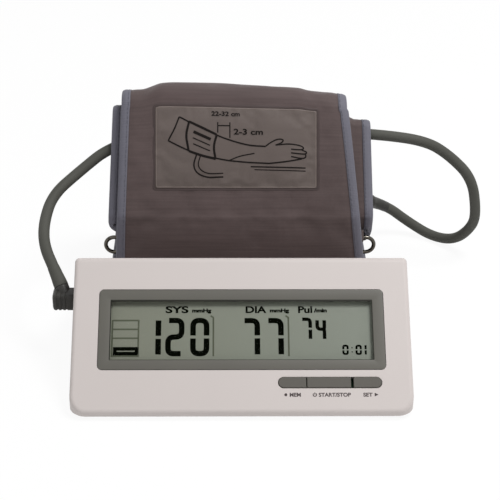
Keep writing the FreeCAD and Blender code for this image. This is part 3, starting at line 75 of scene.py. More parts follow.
def ease(share: float) -> float:
    """Smooth step from 0 to 1."""
    share = min(max(share, 0.0), 1.0)
    return share * share * (3 - 2 * share)


def profile(knots: Sequence[Flat], at: float, soft: float = 1.6) -> float:
    """Value at a place on the line through knots, its corners softened.

    Args:
        knots: (place, value) pairs in rising order.
        at: the place asked for.
        soft: how far the softening reaches either way.

    Returns:
        The value; beyond the ends it stays at the end's value.
    """
    places, values = zip(*knots)
    near = np.interp((at - soft, at, at + soft), places, values)
    return float(0.25 * near[0] + 0.5 * near[1] + 0.25 * near[2])


# ---------------------------------------------------------------- shader values
@dataclass(frozen=True)
class Value:
    """A node's output; arithmetic on it adds Math nodes."""

    graph: "Graph"
    socket: bpy.types.NodeSocket

    def _with(self, operation: str, first: object, second: object) -> "Value":
        """Add one Math node."""
        return self.graph.node("ShaderNodeMath", {"operation": operation}, {0: first, 1: second})

    def __add__(self, other: "Value | float") -> "Value":
        """Sum with a value or number."""
        return self._with("ADD", self, other)

    def __radd__(self, other: float) -> "Value":
        """Sum with a number on the left."""
        return self._with("ADD", other, self)

    def __sub__(self, other: "Value | float") -> "Value":
        """Difference from a value or number."""
        return self._with("SUBTRACT", self, other)

    def __rsub__(self, other: float) -> "Value":
        """A number less this value."""
        return self._with("SUBTRACT", other, self)

    def __mul__(self, other: "Value | float") -> "Value":
        """Product with a value or number."""
        return self._with("MULTIPLY", self, other)

    def __rmul__(self, other: float) -> "Value":
        """Product with a number on the left."""
        return self._with("MULTIPLY", other, self)

    def __truediv__(self, other: "Value | float") -> "Value":
        """Quotient by a value or number."""
        return self._with("DIVIDE", self, other)

    def __rtruediv__(self, other: float) -> "Value":
        """A number divided by this value."""
        return self._with("DIVIDE", other, self)

    def sine(self) -> "Value":
        """Sine of this value."""
        return self._with("SINE", self, 0.0)

    def absolute(self) -> "Value":
        """Size of this value without its sign."""
        return self._with("ABSOLUTE", self, 0.0)

    def over(self, limit: float) -> "Value":
        """1 where this value is above a limit, else 0."""
        return self._with("GREATER_THAN", self, limit)

    def highest(self, other: "Value | float") -> "Value":
        """Larger of this and another value."""
        return self._with("MAXIMUM", self, other)


@dataclass
class Graph:
    """The node tree of a material, with its main shader, or of the world, with a plain background."""

    owner: bpy.types.Material | bpy.types.World

    def __post_init__(self) -> None:
        """Start an empty tree with its output and its main shader."""
        self.owner.use_nodes = True
        self.tree = self.owner.node_tree
        self.tree.nodes.clear()
        of_world = isinstance(self.owner, bpy.types.World)
        self.end = self.tree.nodes.new("ShaderNodeOutputWorld" if of_world else "ShaderNodeOutputMaterial")
        self.main = self.node("ShaderNodeBackground" if of_world else "ShaderNodeBsdfPrincipled")
        self.close(self.main)

    def node(
        self,
        kind: str,
        settings: dict[str, object] | None = None,
        values: dict[str | int, object] | None = None,
        output: str | int = 0,
    ) -> Value:
        """Add a node.

        Args:
            kind: the node's type name.
            settings: its properties, set first.
            values: numbers, colours or Value links for its inputs.
            output: which output is returned.

        Returns:
            The output as a Value.
        """
        made = self.tree.nodes.new(kind)
        for name, setting in (settings or {}).items():
            setattr(made, name, setting)
        for name, value in (values or {}).items():
            self._feed(made.inputs[name], value)
        return Value(self, made.outputs[output])

    def _feed(self, socket: bpy.types.NodeSocket, value: object) -> None:
        """Link a Value to a socket or set the socket's own number.

        Args:
            socket: the input.
            value: what goes in.
        """
        if isinstance(value, Value):
            self.tree.links.new(value.socket, socket)
        else:
            socket.default_value = value

    def close(self, surface: Value) -> None:
        """End the tree with a shader."""
        self._feed(self.end.inputs["Surface"], surface)

    def set(self, name: str, value: object) -> None:
        """Set or drive one socket of the main shader."""
        self._feed(self.main.socket.node.inputs[name], value)

    def place(self) -> Value:
        """The object's own coordinates, in metres."""
        return self.node("ShaderNodeTexCoord", output="Object")

    def seen(self) -> Value:
        """1 where the camera, a gloss or a clear surface looks at this, else 0."""
        camera, gloss, clear = (self.node("ShaderNodeLightPath", output=f"Is {ray} Ray")
                                for ray in ("Camera", "Glossy", "Transmission"))
        return camera.highest(gloss).highest(clear)

    def cloth_map(self) -> tuple[Value, Value]:
        """Along and across a cloth, in millimetres, from its own map.

        Returns:
            The two places.
        """
        flat = self.node("ShaderNodeUVMap", {"uv_map": Shape.MAP_NAME})
        split = self.node("ShaderNodeSeparateXYZ", values={0: flat})
        return split, Value(self, split.socket.node.outputs[1])

    def noise(self, scale: float, detail: float = 2.0, at: Value | None = None, rough: float = 0.5) -> Value:
        """Smooth noise of 0 to 1.

        Args:
            scale: waves in a unit of the coordinates.
            detail: octaves.
            at: coordinates; the object's own when left out.
            rough: weight of the finer octaves.

        Returns:
            The noise's factor.
        """
        values = {"Vector": at or self.place(), "Scale": scale, "Detail": detail, "Roughness": rough}
        return self.node("ShaderNodeTexNoise", values=values)

    def mix(self, first: object, second: object, share: object) -> Value:
        """Blend two colours: none of the second at share 0, only it at 1."""
        values = {0: share, 6: first, 7: second}
        return self.node("ShaderNodeMix", {"data_type": "RGBA"}, values, output=2)

    def bump(self, height: Value, depth_mm: float) -> None:
        """Feed a height of 0 to 1 to the shader's normal, at a depth in millimetres."""
        values = {"Height": height, "Distance": depth_mm * MM, "Strength": 1.0}
        self.set("Normal", self.node("ShaderNodeBump", values=values))


# ---------------------------------------------------------------- finishes
@dataclass(frozen=True)
class Finish:
    """A surface finish: a base colour, its variation and a grain."""

    title: str
    colour: Rgb
    roughness: float = 0.5
    grain: float = 2200.0
    depth: float = 0.02
    variation: float = 0.05
    specular: float = 0.3

    def shade(self, graph: Graph) -> None:
        """Fill the graph; a subclass replaces it.

        Args:
            graph: the tree that is filled.
        """
        drift = graph.noise(38.0, 4.0)
        self.tint(graph, drift)
        fine = graph.noise(self.grain, 2.0)
        graph.set("Roughness", self.roughness + 0.12 * (fine - 0.5) + 0.08 * (drift - 0.5))
        graph.bump(fine, self.depth)

    def tint(self, graph: Graph, share: Value) -> None:
        """Vary the base colour a little either way by a share."""
        dark = tuple(round(c * (1 - self.variation)) for c in self.colour)
        pale = tuple(min(255, round(c * (1 + self.variation))) for c in self.colour)
        graph.set("Base Color", graph.mix(linear(dark), linear(pale), share))

    def material(self) -> bpy.types.Material:
        """The finish's material, made once.

        Returns:
            The material.
        """
        if self not in MADE_FINISHES:
            MADE_FINISHES[self] = bpy.data.materials.new(self.title)
            graph = Graph(MADE_FINISHES[self])
            graph.set("Specular IOR Level", self.specular)
            self.shade(graph)
        return MADE_FINISHES[self]

    def dress(self, *pieces: bpy.types.Object) -> None:
        """Put the finish on pieces, in every slot they have.

        Args:
            pieces: what is dressed.
        """
        for piece in pieces:
            if not piece.data.materials:
                piece.data.materials.append(None)
            for slot in range(len(piece.data.materials)):
                piece.data.materials[slot] = self.material()

    def dress_nodes(self, *names: str) -> None:
        """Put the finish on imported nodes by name."""
        self.dress(*(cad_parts[name] for name in names))


MADE_FINISHES: dict[Finish, bpy.types.Material] = {}


@dataclass(frozen=True)
class Moulding(Finish):
    """Moulded plastic: spark grain, a faint flow drift and rubbed spots."""

    coat: float = 0.0

    def shade(self, graph: Graph) -> None:
        """Grain in the normal, drift in the colour, smudges in the gloss.

        Args:
            graph: the tree that is filled.
        """
        drift = graph.noise(24.0, 3.0)
        self.tint(graph, drift)
        fine = graph.noise(self.grain, 3.0, rough=0.7)
        smudge = graph.noise(55.0, 5.0, rough=0.65)
        graph.set("Roughness", self.roughness + 0.1 * (fine - 0.5) + 0.16 * (smudge - 0.5))
        graph.set("Coat Weight", self.coat)
        graph.bump(fine, self.depth)


@dataclass(frozen=True)
class Metal(Finish):
    """Drawn or plated metal with fine lines."""

    stretch: float = 0.08

    def shade(self, graph: Graph) -> None:
        """Lines along X in gloss and normal.

        Args:
            graph: the tree that is filled.
        """
        graph.set("Metallic", 1.0)
        values = {"Vector": graph.place(), "Scale": (self.stretch, 1.0, 1.0)}
        lines = graph.noise(self.grain, 3.0, at=graph.node("ShaderNodeMapping", values=values))
        self.tint(graph, graph.noise(90.0, 3.0))
        graph.set("Roughness", self.roughness + 0.2 * (lines - 0.5))
        graph.bump(lines, self.depth)


@dataclass(frozen=True)
class Woven(Finish):
    """Plain-woven nylon: yarns over and under, with a soft sheen."""

    pitch: float = 0.62
    yarn_shade: float = 0.12
    sheen: float = 0.08
    slub: float = 0.0

    def weave(self, graph: Graph) -> Value:
        """Height of the yarns, 0 to 1.

        Args:
            graph: the tree that is filled.

        Returns:
            The height.
        """
        along, across = graph.cloth_map()
        turn = math.pi / self.pitch
        warp, weft = (along * turn).sine(), (across * turn).sine()
        over = (warp * weft).over(0.0)
        return over * warp.absolute() + (1.0 - over) * weft.absolute()

    def shade(self, graph: Graph) -> None:
        """Weave in normal and colour, over a slow drift.

        Args:
            graph: the tree that is filled.
        """
        height = self.weave(graph)
        drift = graph.noise(26.0, 4.0, rough=0.6)
        streak = graph.noise(700.0, 2.0)
        share = 0.5 + 0.9 * (drift - 0.5) + self.yarn_shade * (height - 0.5) + 0.35 * (streak - 0.5)
        if self.slub:
            along, across = graph.cloth_map()
            lay = graph.node("ShaderNodeCombineXYZ", values={0: along * 0.8, 1: across * 0.022})
            share = share + self.slub * (graph.noise(1.0, 3.0, at=lay) - 0.5)
        self.tint(graph, share)
        graph.set("Roughness", self.roughness + 0.15 * (height - 0.5))
        graph.set("Sheen Weight", self.sheen)
        graph.set("Sheen Roughness", 0.45)
        graph.bump(0.75 * height + 0.25 * streak, self.depth)


@dataclass(frozen=True)
class Ribbed(Woven):
    """Grosgrain tape: ribs across its length."""

    rib: float = 0.9

    def weave(self, graph: Graph) -> Value:
        """Height of the ribs and of the finer yarns across them.

        Args:
            graph: the tree that is filled.

        Returns:
            The height.
        """
        along, across = graph.cloth_map()
        ribs = (along * (math.pi / self.rib)).sine().absolute()
        yarns = (across * (math.pi / self.pitch)).sine().absolute()
        return 0.7 * ribs + 0.3 * yarns


@dataclass(frozen=True)
class Pile(Finish):
    """Brushed loops or hooks: coarse cells with fibres."""

    cell: float = 900.0

    def shade(self, graph: Graph) -> None:
        """Cells in the normal, fibres in the colour.

        Args:
            graph: the tree that is filled.
        """
        values = {"Vector": graph.place(), "Scale": self.cell}
        cells = graph.node("ShaderNodeTexVoronoi", {"feature": "F1"}, values)
        fibres = graph.noise(self.grain, 4.0, rough=0.75)
        self.tint(graph, 0.6 * fibres + 0.4 * cells)
        graph.set("Roughness", self.roughness)
        graph.set("Sheen Weight", 0.3)
        graph.bump(0.5 * fibres + 0.5 * cells, self.depth)


@dataclass(frozen=True)
class Window(Moulding):
    """Clear moulded window."""

    cover: float = 0.016

    def shade(self, graph: Graph) -> None:
        """A clear, glossy sheet with faint rubbing marks.

        Args:
            graph: the tree that is filled.
        """
        super().shade(graph)
        rubbed = graph.noise(140.0, 5.0, rough=0.7)
        graph.set("Alpha", self.cover + 0.012 * (rubbed - 0.5))


@dataclass(frozen=True)
class Crystal(Finish):
    """Reflective liquid crystal: grey-green with a slow drift and a fine matrix."""

    green: Rgb = (128, 134, 123)
    reach: float = 0.13

    def shade(self, graph: Graph) -> None:
        """Greener to the right, with a slow drift under a faint pearl grain.

        Args:
            graph: the tree that is filled.
        """
        drift = graph.noise(16.0, 2.0)
        pearl = graph.noise(self.grain, 2.0)
        across = graph.node("ShaderNodeSeparateXYZ", values={0: graph.place()})
        share = 0.5 + across / self.reach + 0.5 * (drift - 0.5)
        held = graph.node("ShaderNodeClamp", values={"Value": share})
        tone = graph.mix(linear(self.colour), linear(self.green), held)
        dark = tuple(round(c * 0.75) for c in self.colour)
        graph.set("Base Color", graph.mix(tone, linear(dark), 0.3 * pearl))
        graph.set("Roughness", self.roughness + 0.1 * (pearl - 0.5))
        graph.bump(pearl, self.depth)


@dataclass(frozen=True)
class Wound(Finish):
    """Fine wire in layers round the X axis."""

    turns: float = 0.35

    def shade(self, graph: Graph) -> None:
        """Rows of wire across X.

        Args:
            graph: the tree that is filled.
        """
        split = graph.node("ShaderNodeSeparateXYZ", values={0: graph.place()})
        rows = (split * (math.pi / (self.turns * MM))).sine().absolute()
        self.tint(graph, rows)
        graph.set("Metallic", 0.8)
        graph.set("Roughness", self.roughness + 0.2 * (rows - 0.5))
        graph.bump(rows, self.depth)


CASE = Moulding("case_plastic", (199, 191, 188), 0.46, 3200.0, 0.016, 0.012)
KEYS = Moulding("key_plastic", (89, 86, 81), 0.48, 3000.0, 0.015, 0.04, 0.2)
BORDER = Moulding("border_print", (90, 88, 82), 0.42, 2600.0, 0.008, 0.04)
CELL = Crystal("display_cell", (122, 125, 111), 0.38, 5200.0, 0.004)
CLEAR = Window("clear_window", (60, 62, 60), 0.1, 1400.0, 0.001, 0.01, 0.1)
MARKS = Finish("display_marks", (4, 6, 2), 0.7, 4000.0, 0.004, 0.3, 0.0)
FAINT_MARKS = Finish("display_outlines", (79, 83, 69), 0.6, 4000.0, 0.004, 0.15, 0.1)
# Painted shadow: dark ink that stands in for the window frame's shadow on the sunken display.
PAINTED_SHADOW_INK = Finish("window_painted_shadow", (38, 38, 33), 0.5, 2600.0, 0.006, 0.1, 0.1)
PANEL_INK = Finish("panel_print", (60, 50, 50), 0.55, 4000.0, 0.004, 0.08)
LABEL_INK = Finish("label_print", (22, 18, 17), 0.7, 4000.0, 0.01, 0.2, 0.1)
NYLON = Woven("cuff_nylon", (84, 72, 71), 0.6, depth=0.07, variation=0.1, specular=0.15, sheen=0.25, slub=1.3)
LABEL = Woven("label_cloth", (94, 84, 80), 0.55, depth=0.04, variation=0.04, specular=0.3, pitch=0.45)
# Pressed nylon round the label, darker partly as welded cloth and partly as painted shade of the dip beside
# the patch.
WELD_AND_SHADE = Moulding("pressed_nylon_and_painted_shade", (72, 62, 61), 0.5, 1800.0, 0.02, 0.06, 0.15)
# Painted highlight: the label's raised rim is coloured paler than the patch.
RIM_HIGHLIGHT = Moulding("label_rim_highlight", (108, 97, 92), 0.5, 1800.0, 0.02, 0.05, 0.3)
LINING = Pile("cuff_lining", (104, 101, 98), 0.85, 3000.0, 0.12, 0.1, 0.2, 1300.0)
TAPE = Ribbed("edge_tape", (99, 98, 108), 0.58, depth=0.1, variation=0.1, pitch=0.4)
THREAD = Finish("sewing_thread", (84, 84, 94), 0.6, 6000.0, 0.03, 0.15)
LOOPS = Pile("pile_loops", (58, 56, 55), 0.92, 2500.0, 0.3, 0.2, 0.2, 1100.0)
HOOKS = Pile("hook_tape", (52, 50, 50), 0.7, 2500.0, 0.35, 0.2, 0.2, 700.0)
BLADDER = Moulding("bladder_film", (92, 94, 98), 0.4, 900.0, 0.03, 0.04)
FOAM = Pile("foam_sheet", (72, 72, 74), 0.9, 1800.0, 0.2, 0.1, 0.2, 1600.0)
HOSE = Moulding("hose_rubber", (79, 79, 74), 0.6, 1500.0, 0.03, 0.12, 0.1)
PLUG = Moulding("plug_plastic", (50, 49, 46), 0.42, 2600.0, 0.02, 0.1)
WIRE = Metal("ring_wire", (88, 85, 79), 0.12, 1500.0, 0.012, 0.12)
STEEL = Metal("bright_steel", (176, 176, 174), 0.32, 1800.0, 0.01, 0.05)
RUBBER = Moulding("dark_rubber", (46, 46, 46), 0.78, 1500.0, 0.03, 0.1)
BOARD = Moulding("board_green", (28, 84, 52), 0.36, 900.0, 0.02, 0.12)
BLACK = Moulding("black_plastic", (30, 30, 32), 0.45, 2600.0, 0.015, 0.12)
PALE = Moulding("pale_plastic", (196, 194, 186), 0.5, 2400.0, 0.015, 0.03)
SILICONE = Moulding("clear_silicone", (202, 204, 196), 0.35, 1300.0, 0.015, 0.03)
JACKET = Moulding("cell_jacket", (58, 86, 104), 0.32, 1200.0, 0.01, 0.06)
COPPER = Wound("coil_wire", (164, 96, 58), 0.35, depth=0.08, variation=0.15)

PACKED_FINISHES: dict[Finish, tuple[str, ...]] = {
    CASE: ("upper_case", "lower_case", "battery_cover"),
    KEYS: ("memory_button", "start_stop_button", "set_button"),
    BORDER: ("lens_border",),
    CELL: ("lcd_glass",),
    CLEAR: ("display_lens",),
    PALE: ("lcd_reflector", "pump_head", "pump_drive_plate", "air_socket", "air_manifold"),
    BLACK: ("lcd_holder", "tact_switches", "buzzer", "main_chip", "pressure_sensor", "memory_plunger",
            "start_stop_plunger", "set_plunger", "plug_spigot"),
    PLUG: ("hose_port",),
    RUBBER: ("rubber_feet", "zebra_strips", "pump_diaphragm", "socket_seal"),
    FOAM: ("pump_sleeve",),
    STEEL: ("case_screws", "board_screws", "battery_springs", "battery_contacts", "pump_motor_can",
            "pump_rotor", "valve_body", "valve_plunger"),
    WIRE: ("cuff_ring",),
    BOARD: ("main_board",),
    SILICONE: ("pump_tube", "sensor_tube"),
    JACKET: ("battery_cells",),
    COPPER: ("valve_coil",),
}


# ---------------------------------------------------------------- meshes
@dataclass
class Shape:
    """Corners and faces being gathered, in millimetres."""

    corners: list[Point] = field(default_factory=list)
    faces: list[tuple[int, ...]] = field(default_factory=list)
    flat: list[Flat] = field(default_factory=list)

    MAP_NAME = "cloth"

    def add(self, points: Iterable[Point], flat: Iterable[Flat] | None = None) -> int:
        """Add corners with their places on the cloth's map.

        Args:
            points: the corners.
            flat: a map place for each; 0, 0 where left out.

        Returns:
            Number of the first corner.
        """
        first = len(self.corners)
        self.corners.extend(points)
        self.flat.extend(flat or [(0.0, 0.0)] * (len(self.corners) - first))
        return first

    def rings(self, rings: Sequence[Sequence[Point]], flat: Sequence[Sequence[Flat]] | None = None,
              looped: bool = False) -> None:
        """Join closed rings of equal length into a skin.

        Args:
            rings: each ring's corners.
            flat: map places of the same form.
            looped: join the last ring to the first, where otherwise a face closes each end.
        """
        size = len(rings[0])
        starts = [self.add(ring, flat[i] if flat else None) for i, ring in enumerate(rings)]
        pairs = list(zip(starts, starts[1:]))
        if looped:
            pairs.append((starts[-1], starts[0]))
        for a, b in pairs:
            for i in range(size):
                j = (i + 1) % size
                self.faces.append((a + i, a + j, b + j, b + i))
        if not looped:
            self.faces.append(tuple(reversed(range(starts[0], starts[0] + size))))
            self.faces.append(tuple(range(starts[-1], starts[-1] + size)))

    def slab(self, rows: int, columns: int, top: Callable[[int, int], Point],
             under: Callable[[int, int], Point], flat: Callable[[int, int], Flat]) -> None:
        """Closed thin sheet between two grids of points.

        Args:
            rows: corners one way.
            columns: corners the other way.
            top: the upper face's corner at a row and column.
            under: the lower face's.
            flat: the map place.
        """
        index = [(r, c) for r in range(rows) for c in range(columns)]
        places = [flat(r, c) for r, c in index]
        high = self.add([top(r, c) for r, c in index], places)
        low = self.add([under(r, c) for r, c in index], places)
        for r in range(rows - 1):
            for c in range(columns - 1):
                a = r * columns + c
                quad = (a, a + 1, a + columns + 1, a + columns)
                self.faces.append(tuple(high + q for q in quad))
                self.faces.append(tuple(low + q for q in reversed(quad)))
        rim = list(range(columns))
        rim += [r * columns + columns - 1 for r in range(1, rows)]
        rim += [(rows - 1) * columns + c for c in reversed(range(columns - 1))]
        rim += [r * columns for r in reversed(range(1, rows - 1))]
        for a, b in zip(rim, rim[1:] + rim[:1]):
            self.faces.append((high + b, high + a, low + a, low + b))

    def piece(self, name: str, body: str, slot: str, finish: Finish,
              smooth: bool = True) -> bpy.types.Object:
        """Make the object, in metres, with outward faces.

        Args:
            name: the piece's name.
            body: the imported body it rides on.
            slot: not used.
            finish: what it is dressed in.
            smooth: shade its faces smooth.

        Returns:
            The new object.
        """
        mesh = bpy.data.meshes.new(name)
        mesh.from_pydata([tuple(c * MM for c in p) for p in self.corners], [], self.faces)
        places = mesh.uv_layers.new(name=self.MAP_NAME)
        corner_of = np.empty(len(mesh.loops), dtype=np.int32)
        mesh.loops.foreach_get("vertex_index", corner_of)
        places.uv.foreach_set("vector", np.array(self.flat, dtype=np.float32)[corner_of].ravel())
        made = bpy.data.objects.new(name, mesh)
        bpy.context.scene.collection.objects.link(made)
        tidy_mesh(mesh)
        if smooth:
            mesh.shade_smooth()
        else:
            mesh.shade_flat()
        return finished(made, body, finish)


def ripple(along: float, across: float, layer: float) -> float:
    """Smooth noise of about -1 to 1 at a place, in one of its layers."""
    return noise.noise(Vector((along, across, layer)))


def tidy_mesh(mesh: bpy.types.Mesh) -> None:
    """Turn every closed shell's faces outward.

    Args:
        mesh: the mesh, changed in place.
    """
    work = bmesh.new()
    work.from_mesh(mesh)
    bmesh.ops.recalc_face_normals(work, faces=work.faces)
    work.to_mesh(mesh)
    work.free()


def finished(piece: bpy.types.Object, body: str, finish: Finish) -> bpy.types.Object:
    """Dress a piece, let it ride and report it.

    Args:
        piece: the piece.
        body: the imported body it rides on.
        finish: what it is dressed in.

    Returns:
        The same piece.
    """
    finish.dress(piece)
    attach(piece, body)
    LOG.info("%s: %s on %s", piece.name, finish.title, body)
    return piece


def crisp(piece: bpy.types.Object, angle: float) -> bpy.types.Object:
    """Keep a piece's edges sharp above an angle in degrees."""
    piece.data.set_sharp_from_angle(angle=math.radians(angle))
    return piece


def bowed(points: Sequence[Flat], radius: float, steps: int = 5) -> list[Flat]:
    """Round the corners of a drawn line.

    Args:
        points: the line's corners.
        radius: how far before and after a corner the turn starts.
        steps: points on each turn.

    Returns:
        The line with turned corners.
    """
    line = [points[0]]
    for before, corner, after in zip(points, points[1:], points[2:]):
        runs = (Vector(other) - Vector(corner) for other in (before, after))
        start, end = (Vector(corner) + run.normalized() * min(radius, 0.5 * run.length) for run in runs)
        for i in range(steps + 1):
            t = i / steps
            spot = start * (1 - t) ** 2 + Vector(corner) * 2 * t * (1 - t) + end * t * t
            line.append((spot.x, spot.y))
    line.append(points[-1])
    return line


def spaced(line: Sequence[Flat], step: float) -> list[Flat]:
    """Add points to a line so that none are further apart than a step.

    Args:
        line: its points.
        step: the widest spacing.

    Returns:
        The line with the added points.
    """
    found = [line[0]]
    for (x0, y0), (x1, y1) in zip(line, line[1:]):
        count = max(1, math.ceil(math.dist((x0, y0), (x1, y1)) / step))
        found += [(x0 + (x1 - x0) * i / count, y0 + (y1 - y0) * i / count) for i in range(1, count + 1)]
    return found


def circle(radius: float, count: int) -> list[Flat]:
    """Points round a circle about 0, 0."""
    turns = (2 * math.pi * i / count for i in range(count))
    return [(radius * math.cos(t), radius * math.sin(t)) for t in turns]


def stroke(shape: Shape, line: Sequence[Flat], width: float, place: Place,
           low: float, high: float, looped: bool = False) -> None:
    """Raised line of print along drawn points.

    Args:
        shape: where it is added.
        line: the drawn middle line.
        width: its width.
        place: takes (across, up, height) to the surface.
        low: height of its foot.
        high: height of its face.
        looped: the line closes on itself.
    """
    spots = [Vector(p) for p in line]
    count = len(spots)
    rings = []
    for i, spot in enumerate(spots):
        before = spots[i - 1] if i or looped else spot
        after = spots[(i + 1) % count] if i + 1 < count or looped else spot
        run = (after - spot if after != spot else spot - before).normalized()
        way = (run + ((spot - before).normalized() if before != spot else run)).normalized()
        mitre = 1 / max(way.dot(run), 0.5)
        half = Vector((-way.y, way.x)) * width / 2 * mitre
        left, right = spot + half, spot - half
        rings.append([place(left.x, left.y, low), place(left.x, left.y, high),
                      place(right.x, right.y, high), place(right.x, right.y, low)])
    shape.rings(rings, looped=looped)


def lettering(shape: Shape, words: str, size: float, corner: Flat, place: Place,
              low: float, high: float, width: float, bold: float = 0.03) -> None:
    """Raised printed words.

    Args:
        shape: where they are added.
        words: the text.
        size: height of a capital, about.
        corner: lower left corner of the first letter.
        place: takes (across, up, height) to the surface.
        low: height of the foot.
        high: height of the face.
        width: squeeze or stretch the words to this width.
        bold: how much the strokes are thickened, as a share of the size.
    """
    curve = bpy.data.curves.new("words", "FONT")
    curve.body = words
    curve.size = size * 1.4
    curve.offset = size * bold
    curve.extrude = 0.5
    carrier = bpy.data.objects.new("words", curve)
    bpy.context.scene.collection.objects.link(carrier)
    mesh = bpy.data.meshes.new_from_object(carrier)
    bpy.data.objects.remove(carrier)
    span = max(v.co.x for v in mesh.vertices)
    squeeze = width / span
    first = shape.add([place(corner[0] + v.co.x * squeeze, corner[1] + v.co.y, high if v.co.z > 0 else low)
                       for v in mesh.vertices])
    shape.faces.extend(tuple(first + i for i in face.vertices) for face in mesh.polygons)
    bpy.data.meshes.remove(mesh)
    bpy.data.curves.remove(curve)


# ---------------------------------------------------------------- desk unit
@dataclass
class Panel:
    """The desk unit's sloping face: (across, up, out) to the row frame."""

    front: float = -54.0
    lip: float = 5.5
    tilt: float = math.radians(38.0)

    def at(self, x: float, w: float, n: float) -> Point:
        """Point on or off the panel."""
        return (x, self.front + w * math.cos(self.tilt) - n * math.sin(self.tilt),
                self.lip + w * math.sin(self.tilt) + n * math.cos(self.tilt))


class Digit(Enum):
    """Digits drawn as rounded strokes in a box 1 wide and 1 high, with a gap at mid height."""

    ZERO = "0"
    ONE = "1"
    TWO = "2"
    FOUR = "4"
    SEVEN = "7"

    def lines(self, gap: float) -> list[list[Flat]]:
        """The digit's strokes.

        Args:
            gap: half the gap at mid height, as a share of the height.

        Returns:
            A line of points for each stroke.
        """
        upper, lower = 0.5 + gap, 0.5 - gap
        strokes = {
            Digit.ZERO: [[(0, upper), (0, 1), (1, 1), (1, upper)], [(0, lower), (0, 0), (1, 0), (1, lower)]],
            Digit.ONE: [[(0.5, 0.97), (0.5, upper)], [(0.5, lower), (0.5, 0.03)]],
            Digit.TWO: [[(0.22, 1), (1, 1), (1, 0.5), (0, 0.5), (0, 0), (0.78, 0)]],
            Digit.FOUR: [[(0, 0.93), (0, 0.5), (1, 0.5)], [(1, 0.93), (1, upper)], [(1, lower), (1, 0.03)]],
            Digit.SEVEN: [[(0, 1), (1, 1), (1, upper)], [(1, lower), (1, 0.03)]],
        }
        return strokes[self]


@dataclass(frozen=True)
class Print:
    """Ink on the panel, between two heights over it."""

    panel: Panel
    foot: float
    face: float
    shape: Shape = field(default_factory=Shape)

    def line(self, points: Sequence[Flat], pen: float, looped: bool = False) -> None:
        """Draw a line with a pen's width."""
        stroke(self.shape, points, pen, self.panel.at, self.foot, self.face, looped)

    def box(self, box: Box, pen: float) -> None:
        """Draw the outline of a (left, right, low, high) box with a pen's width."""
        left, right, low, high = box
        self.line([(left, low), (right, low), (right, high), (left, high)], pen, looped=True)

    def fill(self, points: Sequence[Flat]) -> None:
        """Fill the outline through points."""
        self.shape.rings([[self.panel.at(x, w, n) for x, w in points] for n in (self.foot, self.face)])

    def words(self, words: str, size: float, corner: Flat, width: float, bold: float) -> None:
        """Set words, as lettering does."""
        lettering(self.shape, words, size, corner, self.panel.at, self.foot, self.face, width, bold)


DigitBox = tuple[Digit, float, float, float, float]


